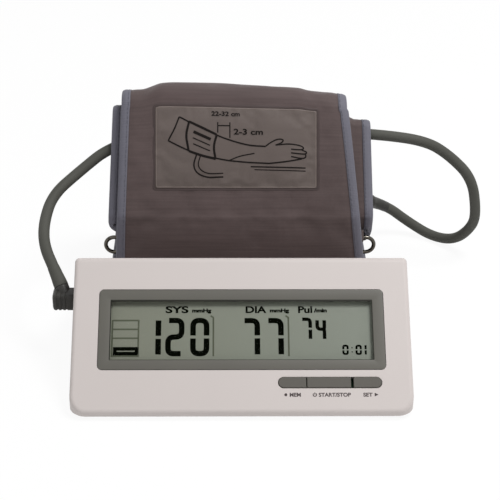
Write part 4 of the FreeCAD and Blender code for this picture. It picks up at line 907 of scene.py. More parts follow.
@dataclass
class Display:
    """What the liquid crystal shows: readings, their names and a level bar.

    Boxes are (left, right, low, high), and words are (words, left, low, size, width).
    """

    panel: Panel
    foot: float = -2.52
    face: float = -2.47
    pen: float = 2.8
    small_pen: float = 1.8
    clock_pen: float = 1.05
    gap_share: float = 0.68
    turn_share: float = 1.1
    end_share: float = 0.4
    large: tuple[DigitBox, ...] = (
        (Digit.ONE, -43.4, -40.2, 29.2, 48.7),
        (Digit.TWO, -38.3, -28.7, 29.0, 49.3),
        (Digit.ZERO, -25.8, -16.2, 29.0, 49.3),
        (Digit.SEVEN, 1.2, 9.3, 29.2, 49.2),
        (Digit.SEVEN, 13.2, 21.2, 29.2, 49.2),
    )
    small: tuple[DigitBox, ...] = (
        (Digit.SEVEN, 30.4, 35.5, 37.6, 49.4),
        (Digit.FOUR, 37.2, 42.6, 37.6, 48.8),
    )
    clock: tuple[DigitBox, ...] = (
        (Digit.ZERO, 50.4, 53.6, 29.6, 35.0),
        (Digit.ZERO, 57.0, 60.2, 29.6, 35.0),
        (Digit.ONE, 61.6, 62.6, 29.6, 35.0),
    )
    colon: Flat = (55.0, 55.6)
    colon_levels: Flat = (31.2, 33.4)
    colon_pen: float = 0.6
    words: tuple[tuple[str, float, float, float, float], ...] = (
        ("SYS", -38.4, 52.0, 3.5, 11.6),
        ("mmHg", -25.0, 52.3, 1.9, 9.8),
        ("DIA", 1.8, 52.0, 3.5, 10.8),
        ("mmHg", 14.3, 52.3, 1.9, 9.8),
        ("Pul", 28.4, 52.0, 3.5, 7.4),
        ("/min", 36.8, 52.3, 2.0, 6.4),
    )
    small_size: float = 2.5
    thin: float = 0.05
    bold: float = 0.08
    bar: Box = (-63.35, -52.45, 30.45, 32.95)
    bar_pen: float = 1.9
    scale: Box = (-64.9, -51.8, 29.1, 47.9)
    steps: Flat = (38.5, 43.2)
    step_ends: Flat = (-64.8, -52.0)
    dividers: Flat = (-14.2, 23.6)
    faint_pen: float = 0.85

    def digits(self, ink: Print, digits: Sequence[DigitBox], pen: float) -> None:
        """Draw digits, each in its own box.

        Args:
            ink: where they are drawn.
            digits: each digit and its box.
            pen: the strokes' width.
        """
        for digit, left, right, low, high in digits:
            x0, x1, w0, w1 = left + pen / 2, right - pen / 2, low + pen / 2, high - pen / 2
            for line in digit.lines(self.gap_share * pen / (w1 - w0)):
                drawn = [(x0 + (x1 - x0) * x, w0 + (w1 - w0) * w) for x, w in line]
                drawn = bowed(drawn, self.turn_share * pen)
                for end, inner in ((0, 1), (-1, -2)):
                    out = Vector(drawn[end]) - Vector(drawn[inner])
                    drawn[end] = tuple(Vector(drawn[end]) + out.normalized() * self.end_share * pen)
                ink.line(drawn, pen)

    def build(self) -> None:
        """Build the dark marks and the fainter outlines."""
        dark, faint = (Print(self.panel, self.foot, self.face) for _ in range(2))
        self.digits(dark, self.large, self.pen)
        self.digits(dark, self.small, self.small_pen)
        self.digits(dark, self.clock, self.clock_pen)
        for level in self.colon_levels:
            dark.line([(x, level) for x in self.colon], self.colon_pen)
        for words, x, level, size, width in self.words:
            bold = self.thin if size > self.small_size else self.bold
            dark.words(words, size, (x, level), width, bold)
        dark.box(self.bar, self.bar_pen)
        faint.box(self.scale, self.faint_pen)
        for level in self.steps:
            faint.line([(x, level) for x in self.step_ends], self.faint_pen)
        for x in self.dividers:
            faint.line([(x - 1.4, 50.4), (x, 49.4), (x, 29.0)], self.faint_pen)
        dark.shape.piece("display_marks", "monitor", "display_cell", MARKS, smooth=False)
        faint.shape.piece("display_outlines", "monitor", "display_cell", FAINT_MARKS, smooth=False)


@dataclass
class WindowFrame:
    """Grey frame printed on the window's face, round the view."""

    panel: Panel
    half: float = 71.55
    low: float = 21.35
    high: float = 63.45
    corner: float = 1.8
    view_half: float = 66.05
    view_low: float = 26.3
    view_high: float = 58.1
    view_corner: float = 0.6
    sunk: float = -0.04
    step: float = 0.02
    rise: float = 0.06
    brim: float = 0.35
    lip: float = 0.3
    shadow_rise: float = 0.03
    shadow_side: float = 0.5
    shadow_low: float = 0.2
    shadow_high: float = 0.95

    def outline(self, half: float, low: float, high: float, corner: float) -> list[Flat]:
        """Rounded rectangle with eight points to a corner.

        Args:
            half: half its width.
            low: its lower side.
            high: its upper side.
            corner: the radius of its corners.

        Returns:
            Its points.
        """
        middles = [(half - corner, high - corner, 0), (corner - half, high - corner, 1),
                   (corner - half, low + corner, 2), (half - corner, low + corner, 3)]
        return [(x + corner * math.cos((quarter + i / 7) * math.pi / 2),
                 w + corner * math.sin((quarter + i / 7) * math.pi / 2))
                for x, w, quarter in middles for i in range(8)]

    def ring(self, lines: Iterable[tuple[list[Flat], float]]) -> Shape:
        """A ring through closed (outline, height) lines on the panel."""
        shape = Shape()
        shape.rings([[self.panel.at(x, w, n) for x, w in line] for line, n in lines], looped=True)
        return shape

    def build(self) -> None:
        """Build the frame as a thin rounded ring, and the painted shadow line inside it."""
        brim, lip = self.brim, self.lip
        outer = self.outline(self.half, self.low, self.high, self.corner)
        top = self.outline(self.half - brim, self.low + brim, self.high - brim, self.corner - lip)
        inner = self.outline(self.view_half, self.view_low, self.view_high, self.view_corner)
        edge = self.outline(self.view_half + lip, self.view_low - lip, self.view_high + lip,
                            self.view_corner + lip)
        frame_ring = self.ring([(outer, self.sunk), (outer, self.step), (top, self.rise), (edge, self.rise),
                                (inner, 0.0), (inner, self.sunk)])
        crisp(frame_ring.piece("window_frame", "monitor", "window_border", BORDER), 20)
        self.edge()

    def edge(self) -> None:
        """Dark line painted inside the frame as the frame's shadow on the sunken display: widest above,
        narrower at the sides, finest below.
        """
        left, right = self.shadow_side - self.view_half, self.view_half - self.shadow_side
        low, high = self.view_low + self.shadow_low, self.view_high - self.shadow_high
        outer = [(-self.view_half, self.view_low), (self.view_half, self.view_low),
                 (self.view_half, self.view_high), (-self.view_half, self.view_high)]
        inner = [(left, low), (right, low), (right, high), (left, high)]
        line = self.ring([(outer, self.sunk), (outer, self.shadow_rise), (inner, self.shadow_rise),
                          (inner, self.sunk)])
        line.piece("window_painted_shadow_line", "monitor", "window_border", PAINTED_SHADOW_INK, smooth=False)


@dataclass
class DeskUnit:
    """The desk unit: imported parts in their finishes, the display and the key captions."""

    panel: Panel = field(default_factory=Panel)
    captions_low: float = 7.4
    size: float = 1.9
    bold: float = 0.05
    foot: float = -0.02
    face: float = 0.03
    names: tuple[tuple[str, float, float], ...] = (
        ("MEM", 23.4, 5.6), ("START/STOP", 37.8, 15.9), ("SET", 59.8, 4.6))
    dot: float = 21.6
    dot_radius: float = 0.75
    dot_points: int = 20
    sign: float = 35.9
    sign_radius: float = 0.85
    sign_stem: float = 1.15
    sign_pen: float = 0.45
    sign_gap: float = 0.7
    sign_steps: int = 16
    arrow: Flat = (65.4, 67.3)

    def dress(self) -> None:
        """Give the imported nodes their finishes."""
        for finish, names in PACKED_FINISHES.items():
            finish.dress_nodes(*names)
            LOG.info("%s on %s", finish.title, ", ".join(names))

    def captions(self) -> None:
        """Print the keys' names and signs under the bar."""
        ink = Print(self.panel, self.foot, self.face)
        low, middle, high = (self.captions_low + share * self.size for share in (0, 0.5, 1))
        ink.fill([(self.dot + x, middle + w) for x, w in circle(self.dot_radius, self.dot_points)])
        sweep = 2 * math.pi - 2 * self.sign_gap
        turns = [self.sign_gap + sweep * i / self.sign_steps for i in range(self.sign_steps + 1)]
        ink.line([(self.sign + self.sign_radius * math.sin(t), middle + self.sign_radius * math.cos(t))
                  for t in turns], self.sign_pen)
        ink.line([(self.sign, middle), (self.sign, middle + self.sign_stem)], self.sign_pen)
        for words, x, width in self.names:
            ink.words(words, self.size, (x, low), width, self.bold)
        ink.fill([(self.arrow[0], low), (self.arrow[1], middle), (self.arrow[0], high)])
        ink.shape.piece("key_captions", "monitor", "case_shell", PANEL_INK, smooth=False)

    def build(self) -> None:
        """Dress the unit and print on it."""
        self.dress()
        self.captions()
        WindowFrame(self.panel).build()
        Display(self.panel).build()


# ---------------------------------------------------------------- cuff
@dataclass(frozen=True)
class Bend:
    """One bend of the strip's middle line, seen from the right end, turning clockwise.

    Its middle is at (y, z); the angles where it starts and ends are in degrees.
    """

    y: float
    z: float
    radius: float
    enter: float
    leave: float


@dataclass
class StripLine:
    """Middle line of the cuff's strip in YZ: a lead, six bends with straight runs, and a tail."""

    lead: float = 9.1
    tail: float = 46.0
    bends: tuple[Bend, ...] = (
        Bend(73.5, 46.3, 4.0, 171.943, 150.718),
        Bend(102.3, 99.3, 3.2, 150.718, 16.833),
        Bend(121.3, 12.3, 10.2, 16.833, -90.0),
        Bend(70.3, 12.3, 10.2, -90.0, -188.057),
        Bend(73.5, 46.3, 8.6, -188.057, -209.282),
        Bend(102.3, 99.3, 7.8, -209.282, -343.167),
    )
    round_ends: tuple[float, ...] = (0.15, 0.5, 1.1, 2.0, 3.1)
    runs: list[tuple[float, float, float, float, float, float]] = field(init=False)
    marks: list[Flat] = field(init=False)

    def __post_init__(self) -> None:
        """Lay the line out as runs: (start, length, y, z, angle, turn radius), radius 0 when straight.

        The marks are where each bend starts and ends along the line.
        """
        self.runs = []
        self.marks = []
        along = 0.0
        first = self.bends[0]
        spot = self._on(first, first.enter)
        angle = math.radians(first.enter)
        here = (spot[0] - self.lead * math.sin(angle), spot[1] + self.lead * math.cos(angle))
        for bend in self.bends:
            spot = self._on(bend, bend.enter)
            gap = math.hypot(spot[0] - here[0], spot[1] - here[1])
            angle = math.radians(bend.enter)
            if gap > 1e-6:
                self.runs.append((along, gap, here[0], here[1], angle, 0.0))
                along += gap
            turn = math.radians(bend.enter - bend.leave) * bend.radius
            self.marks.append((along, along + turn))
            self.runs.append((along, turn, bend.y, bend.z, angle, bend.radius))
            along += turn
            here = self._on(bend, bend.leave)
        self.runs.append((along, self.tail, here[0], here[1], math.radians(self.bends[-1].leave), 0.0))
        self.length = along + self.tail
        self.table = self.marks[3][0]

    def _on(self, bend: Bend, degrees: float) -> Flat:
        """Point of a bend's middle line at an angle."""
        angle = math.radians(degrees)
        return bend.y + bend.radius * math.cos(angle), bend.z + bend.radius * math.sin(angle)

    def at(self, s: float) -> tuple[float, float, float]:
        """Place on the line.

        Args:
            s: distance from the hem end.

        Returns:
            (y, z, angle of the outward normal).
        """
        for start, _, y, z, angle, radius in reversed(self.runs):
            if s >= start - 1e-9:
                gone = s - start
                if radius:
                    turned = angle - gone / radius
                    return y + radius * math.cos(turned), z + radius * math.sin(turned), turned
                return y + gone * math.sin(angle), z - gone * math.cos(angle), angle
        return self.at(0.0)

    def stations(self, step: float, turn_step: float = 9.0) -> list[float]:
        """Distances for rows: close on the bends, wider on the runs, ends eased for round corners.

        Args:
            step: widest spacing.
            turn_step: widest turn between two rows, in degrees.

        Returns:
            The distances in rising order.
        """
        found = [0.0]
        for start, length, _, _, _, radius in self.runs:
            spacing = min(step, math.radians(turn_step) * radius) if radius else step
            count = max(1, math.ceil(length / spacing))
            found += [start + length * (i + 1) / count for i in range(count)]
        found += [*self.round_ends, *(self.length - end for end in self.round_ends)]
        return sorted(set(round(min(max(f, 0.0), self.length), 4) for f in found))


@dataclass
class CuffForm:
    """Where every point of the strip lies: its line, its width and how it sags and puffs.

    Levels are (height, left half width, right half width); sag and rise are (place across, distance).
    """

    line: StripLine = field(default_factory=StripLine)
    half: float = 1.8
    corner: float = 6.0
    pinch: float = 0.6
    pinch_reach: float = 9.0
    half_width: float = 74.4
    grid_half: float = 74.0
    main_levels: tuple[Point, ...] = ((0.0, 74.4, 74.4), (104.3, 70.3, 72.6))
    flap_levels: tuple[Point, ...] = ((0.0, 74.4, 74.4), (22.0, 68.8, 68.9), (108.9, 65.0, 58.7))
    main_sag: tuple[Flat, ...] = (
        (-76, 5.8), (-64, 5.8), (-60, 4.0), (-52, 3.4), (-44, 0.6), (0, 1.0), (30, 1.6), (36, 2.6),
        (45, 4.0), (54, 6.0), (59, 10.5), (62, 14.2), (76, 14.6))
    flap_rise: tuple[Flat, ...] = (
        (-66, -1.4), (-59, -1.7), (-53, -1.3), (-44, 2.3), (-38, 2.4), (0, 0.9), (33, -0.5),
        (38, -1.9), (59, -4.4))
    crease_level: float = 46.3
    main_top: float = 104.3
    flap_top: float = 108.9
    hang_corner: float = 4.0
    hang_run: float = 17.0
    hang_drop: float = 8.2
    hang_back: float = 5.2
    hang_from: float = 57.0
    hang_reach: float = 6.0
    drop_from: float = 61.5
    drop_reach: float = 7.0
    lift_start: float = 3.0
    lift_run: float = 24.0
    streak: float = 0.08
    ridge: float = 0.4
    billow: "Billow | None" = None

    def __post_init__(self) -> None:
        """Find the middle of the flap's crease."""
        self.crease = sum(self.line.marks[4]) / 2

    def hang(self, s: float, x: float) -> Flat:
        """How far the loose right corner of the hem end hangs: (back, down)."""
        share = max(1 - s / self.hang_run, 0.0) ** 2
        return (self.hang_back * ease(1.25 * share) * ease((x - self.hang_from) / self.hang_reach),
                self.hang_drop * share * ease((x - self.drop_from) / self.drop_reach))

    def edges(self, s: float) -> Flat:
        """Left and right half widths.

        Args:
            s: distance along from the hem end.

        Returns:
            How far the strip reaches to the left and to the right of the middle.
        """
        _, z, _ = self.line.at(s)
        on_flap = s > self.line.table
        levels = self.flap_levels if on_flap else self.main_levels
        if on_flap and s > self.line.marks[5][0]:
            z = self.flap_top
        z = min(max(z, levels[0][0]), levels[-1][0])
        left = right = 0.0
        for (z0, l0, r0), (z1, l1, r1) in zip(levels, levels[1:]):
            if z0 <= z <= z1:
                share = (z - z0) / (z1 - z0)
                left, right = l0 + share * (l1 - l0), r0 + share * (r1 - r0)
        near = min(s, self.line.length - s)
        hanging = self.hang_corner if s < self.hang_run else self.corner
        return left - self.corner_cut(near, self.corner), right - self.corner_cut(near, hanging)

    def corner_cut(self, near: float, radius: float) -> float:
        """How much a round corner takes off the side at a distance from the end."""
        short = max(radius - near, 0.0)
        return radius - math.sqrt(max(radius ** 2 - short ** 2, 0.0))

    def swell(self, s: float, x: float) -> float:
        """How far the flap's outer cloth stands out over its foam.

        Args:
            s: distance along from the hem end.
            x: place across.

        Returns:
            Millimetres; from the simulated lift where there is one, and otherwise from slow waves.
        """
        if s < self.line.table:
            return 0.0
        lifted = ease((s - self.line.marks[3][1] - self.lift_start) / self.lift_run)
        if self.billow:
            streak = self.streak * ripple(s * 0.3, x * 0.02, 9.1)
            return (self.billow.at(s, x) + streak + self.fold(s, 1.1)) * lifted
        left, right = self.edges(s)
        near_side = 1 - ease((min(x + left, right - x) - 4.0) / 26.0)
        waves = 0.9 + 0.7 * ripple(s * 0.021, x * 0.03, 3.7) + 0.16 * ripple(s * 0.15, x * 0.012, 9.1)
        return (waves + 0.3 * ripple(s * 0.012, x * 0.2, 1.3) * near_side + self.fold(s, 1.3)) * lifted

    def fold(self, s: float, reach: float) -> float:
        """Ridge along the flap's crease, falling away over a reach."""
        return self.ridge * math.exp(-(((s - self.crease) / reach) ** 2))

    def at(self, s: float, x: float, offset: float, lift: float = 0.0) -> Point:
        """Point of the strip.

        Args:
            s: distance along from the hem end.
            x: place across.
            offset: from the strip's middle, outward, before the edges pinch it.
            lift: further outward, not pinched.

        Returns:
            The point in the row frame.
        """
        y, z, angle = self.line.at(s)
        left, right = self.edges(s)
        inside = min(x + left, right - x)
        round_off = ease(inside / self.pinch_reach)
        reach = offset * (self.pinch + (1 - self.pinch) * round_off) + lift
        if offset > 0.5 * self.half:
            reach += self.swell(s, x) * round_off
        y, z = y + reach * math.cos(angle), z + reach * math.sin(angle)
        if s < self.hang_run:
            back, down = self.hang(s, x)
            y, z = y + back, z - down
        if z > self.crease_level:
            risen = z - self.crease_level
            if s < self.line.table:
                z -= profile(self.main_sag, x) * risen / (self.main_top - self.crease_level)
            else:
                share = min(risen / (self.flap_top - self.crease_level), 1.0)
                z += profile(self.flap_rise, x) * share ** 4
        return x, y, z

    def band(self, node: str, name: str, slot: str, finish: Finish, levels: Flat, inset: float = 0.0,
             span: Flat | None = None, sides: float = 0.0, step: float = 2.2) -> bpy.types.Object:
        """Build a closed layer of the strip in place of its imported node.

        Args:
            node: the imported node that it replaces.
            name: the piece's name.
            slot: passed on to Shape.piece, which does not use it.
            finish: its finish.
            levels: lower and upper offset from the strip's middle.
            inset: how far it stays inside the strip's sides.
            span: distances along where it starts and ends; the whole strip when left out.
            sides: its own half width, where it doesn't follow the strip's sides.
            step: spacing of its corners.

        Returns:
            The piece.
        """
        low, high = levels
        first, last = span or (0.0, self.line.length)
        rows = [first] + [s for s in self.line.stations(step) if first < s < last] + [last]
        columns = round(2 * self.grid_half / step)

        def across(r: int, c: int) -> float:
            """Place across at a row and column."""
            left, right = (sides, sides) if sides else (edge - inset for edge in self.edges(rows[r]))
            return -left + (left + right) * c / (columns - 1)

        shape = Shape()
        shape.slab(len(rows), columns, lambda r, c: self.at(rows[r], across(r, c), high),
                   lambda r, c: self.at(rows[r], across(r, c), low), lambda r, c: (rows[r], across(r, c)))
        made = shape.piece(name, "cuff_assembly", slot, finish)
        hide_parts(node)
        return made


@dataclass
class Billow:
    """Simulated lift of the flap's outer cloth over its foam, held at its edges, crease and label weld."""

    form: CuffForm
    weld: Box
    rows: int = 84
    columns: int = 56
    frames: int = 20
    quality: int = 6
    pressure: float = 4.0
    slack: float = 0.01
    stiffness: float = 0.3
    cap: float = 2.0
    sink: float = 0.3
    floor: float = 0.25
    unrest: float = 0.25
    weld_reach: float = 0.6
    crease_reach: float = 0.55
    lift: np.ndarray = field(init=False)

    def __post_init__(self) -> None:
        """Lay out the grid and run the cloth."""
        self.first, self.last = self.form.line.table, self.form.line.length
        self.lift = np.zeros((self.rows, self.columns))
        self.lift = self.run()

    def spot(self, row: int, column: int) -> Flat:
        """(along, across) of a grid corner."""
        s = self.first + (self.last - self.first) * row / (self.rows - 1)
        left, right = self.form.edges(s)
        return s, -left + (left + right) * column / (self.columns - 1)

    def held(self, row: int, column: int) -> bool:
        """Whether a grid corner is sewn, welded or creased down.

        Args:
            row: its row, along the strip.
            column: its column, across.

        Returns:
            True where it is held.
        """
        if not (1 < row < self.rows - 2 and 1 < column < self.columns - 2):
            return True
        s, x = self.spot(row, column)
        low, high, left, right = self.weld
        step = (self.last - self.first) / (self.rows - 1)
        beside = max(low - s, s - high, left - x, x - right)
        return abs(beside) < self.weld_reach * step or abs(s - self.form.crease) < self.crease_reach * step

    def run(self) -> np.ndarray:
        """Blow the cloth out and read how far each corner moved along its own normal.

        Returns:
            Millimetres of lift on the grid, capped softly.
        """
        grid = [(r, c) for r in range(self.rows) for c in range(self.columns)]
        spots = [self.spot(r, c) for r, c in grid]
        base = np.array([self.form.at(s, x, self.form.half) for s, x in spots])
        out = np.array([self.form.at(s, x, self.form.half, 1.0) for s, x in spots]) - base
        rough = np.array([ripple(s * 0.07, x * 0.07, 2.2) for s, x in spots])
        start = base + out * (self.unrest * rough)[:, None]
        mesh = bpy.data.meshes.new("billow")
        wide = self.columns
        firsts = (r * wide + c for r in range(self.rows - 1) for c in range(wide - 1))
        faces = [(a, a + 1, a + wide + 1, a + wide) for a in firsts]
        mesh.from_pydata([tuple(p * MM) for p in start], [], faces)
        proxy = bpy.data.objects.new("billow", mesh)
        bpy.context.scene.collection.objects.link(proxy)
        if np.dot(np.array(mesh.polygons[0].normal), out[0]) < 0:
            mesh.flip_normals()
        pins = proxy.vertex_groups.new(name="held")
        pins.add([i for i, (r, c) in enumerate(grid) if self.held(r, c)], 1.0, "REPLACE")
        cloth = proxy.modifiers.new("cloth", "CLOTH")
        settings = cloth.settings
        settings.quality = self.quality
        settings.use_pressure = True
        settings.uniform_pressure_force = self.pressure
        settings.shrink_min = -self.slack
        settings.vertex_group_mass = "held"
        settings.bending_stiffness = self.stiffness
        settings.effector_weights.gravity = 0.0
        scene = bpy.context.scene
        for frame_number in range(1, self.frames + 1):
            scene.frame_set(frame_number)
        settled = proxy.evaluated_get(bpy.context.evaluated_depsgraph_get()).data
        moved = np.array([v.co for v in settled.vertices]) / MM
        scene.frame_set(1)
        bpy.data.objects.remove(proxy)
        bpy.data.meshes.remove(mesh)
        raised = np.einsum("ij,ij->i", moved - base, out)
        LOG.info("billow: %.2f to %.2f mm", raised.min(), raised.max())
        raised = np.maximum(raised, -self.sink)
        eased = np.where(raised > 0, self.cap * np.tanh(raised / self.cap), raised)
        return eased.reshape(self.rows, self.columns)

    def at(self, s: float, x: float) -> float:
        """Lift at a place on the flap.

        Args:
            s: distance along the strip from the hem end.
            x: place across.

        Returns:
            Millimetres over the foam.
        """
        left, right = self.form.edges(s)
        row = min(max((s - self.first) / (self.last - self.first), 0.0), 1.0) * (self.rows - 1)
        column = min(max((x + left) / (left + right), 0.0), 1.0) * (self.columns - 1)
        r, c = min(int(row), self.rows - 2), min(int(column), self.columns - 2)
        u, v = row - r, column - c
        this, after = (self.lift[row, c] * (1 - v) + self.lift[row, c + 1] * v for row in (r, r + 1))
        return float(this * (1 - u) + after * u) + self.floor


@dataclass
class EdgeTape:
    """Tape folded over the strip's side, from the hem's corner round to the middle of the flap's end."""

    form: CuffForm
    side: int
    width: float = 4.9
    thickness: float = 0.35
    fold: float = 1.3
    hollow: float = 0.05
    crown: float = 0.22
    hollow_share: float = 0.78
    crown_shares: Flat = (0.55, 0.35)
    inside: float = 0.5
    under_map: float = 8.0
    end_step: float = 2.5
    stitch_in: float = 3.9
    stitch_rise: float = 0.02
    stitch_pitch: float = 2.7
    stitch_length: float = 1.9
    stitch_radii: tuple[float, ...] = (0.06, 0.17, 0.19, 0.17, 0.06)

    def path(self) -> list[Flat]:
        """(along, across) of the strip's side edge, from the hem's corner to the middle of the flap's end.

        Returns:
            Its points.
        """
        rows = self.form.line.stations(2.0)
        edge = [(s, self.side * self.form.edges(s)[self.side > 0]) for s in rows]
        last = edge[-1]
        count = max(2, round(abs(last[1]) / self.end_step))
        across = [(last[0], last[1] * (1 - i / count)) for i in range(1, count + 1)]
        return edge + across

    def frames(self) -> list[tuple[Vector, Vector, float]]:
        """Spot, outward way and distance for each place on the path.

        Returns:
            One of each for every place, in order.
        """
        spots = [Vector(p) for p in self.path()]
        found = []
        gone = 0.0
        for i, spot in enumerate(spots):
            before, after = spots[max(i - 1, 0)], spots[min(i + 1, len(spots) - 1)]
            way = (after - before).normalized()
            out = Vector((-way.y, way.x)) * self.side
            gone += (spot - before).length if i else 0.0
            found.append((spot, out, gone))
        return found

    def section(self) -> list[Point]:
        """The folded section, its outer face and then its inner one.

        Returns:
            (inward, offset, lift) points.
        """
        half, reach, width, thick = self.form.half, self.fold, self.width, self.thickness
        upper = [(width, half, thick), (width * self.hollow_share, half, thick - self.hollow)]
        upper += [(width * share, half, thick + self.crown) for share in self.crown_shares]
        turns = (math.pi / 2 - math.pi * i / 8 for i in range(9))
        turned = [(reach * (1 - math.cos(t)), half * math.sin(t), thick * math.sin(t)) for t in turns]
        under = [(width * share, -half, -thick) for share in reversed(self.crown_shares)]
        under += [(width * self.hollow_share, -half, self.hollow - thick), (width, -half, -thick)]
        inner = [(width, -half, 0.0), (self.inside, -half, 0.0), (self.inside, half, 0.0), (width, half, 0.0)]
        return upper + turned + under + inner

    def point(self, spot: Vector, out: Vector, inward: float, offset: float, lift: float) -> Point:
        """Point of the tape beside the edge.

        Args:
            spot: the edge's place, (along, across).
            out: the way out of the cloth there.
            inward: how far in from the edge.
            offset: from the strip's middle.
            lift: further outward.

        Returns:
            The point; past the strip's end it goes on along the line's own way.
        """
        along, x = spot.x - out.x * inward, spot.y - out.y * inward
        s = min(max(along, 0.0), self.form.line.length)
        angle = self.form.line.at(s)[2]
        px, py, pz = self.form.at(s, x, offset, lift)
        return px, py + (along - s) * math.sin(angle), pz - (along - s) * math.cos(angle)

    def build(self, name: str, *nodes: str) -> bpy.types.Object:
        """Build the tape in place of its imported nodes.

        Args:
            name: the piece's name.
            nodes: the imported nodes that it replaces.

        Returns:
            The piece.
        """
        shape = Shape()
        rings, flat = [], []
        for spot, out, gone in self.frames():
            rings.append([self.point(spot, out, *part) for part in self.section()])
            flat.append([(gone, inward + (self.under_map if offset < 0 else 0.0))
                         for inward, offset, _ in self.section()])
        shape.rings(rings, flat)
        made = shape.piece(name, "cuff_assembly", "edge_tape", TAPE)
        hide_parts(*nodes)
        return made

    def stitches(self, name: str) -> bpy.types.Object:
        """Sew the tape down with short raised stitches.

        Args:
            name: the piece's name.

        Returns:
            The piece.
        """
        shape = Shape()
        spots = self.frames()
        total = spots[-1][2]
        k = 0
        for i in range(round(total / self.stitch_pitch)):
            start = i * self.stitch_pitch
            rings = []
            for j, radius in enumerate(self.stitch_radii):
                want = start + self.stitch_length * j / (len(self.stitch_radii) - 1)
                while k + 2 < len(spots) and spots[k + 1][2] < want:
                    k += 1
                (a, out_a, gone_a), (b, out_b, gone_b) = spots[k], spots[k + 1]
                share = min(max((want - gone_a) / max(gone_b - gone_a, 1e-6), 0.0), 1.0)
                spot, out = a.lerp(b, share), out_a.lerp(out_b, share).normalized()
                foot = self.thickness + self.stitch_rise
                rings.append([self.point(spot, out, self.stitch_in + u, self.form.half, foot + v)
                              for u, v in circle(radius, 6)])
            shape.rings(rings)
            k = max(0, k - 2)
        return shape.piece(name, "cuff_assembly", "edge_tape", THREAD)


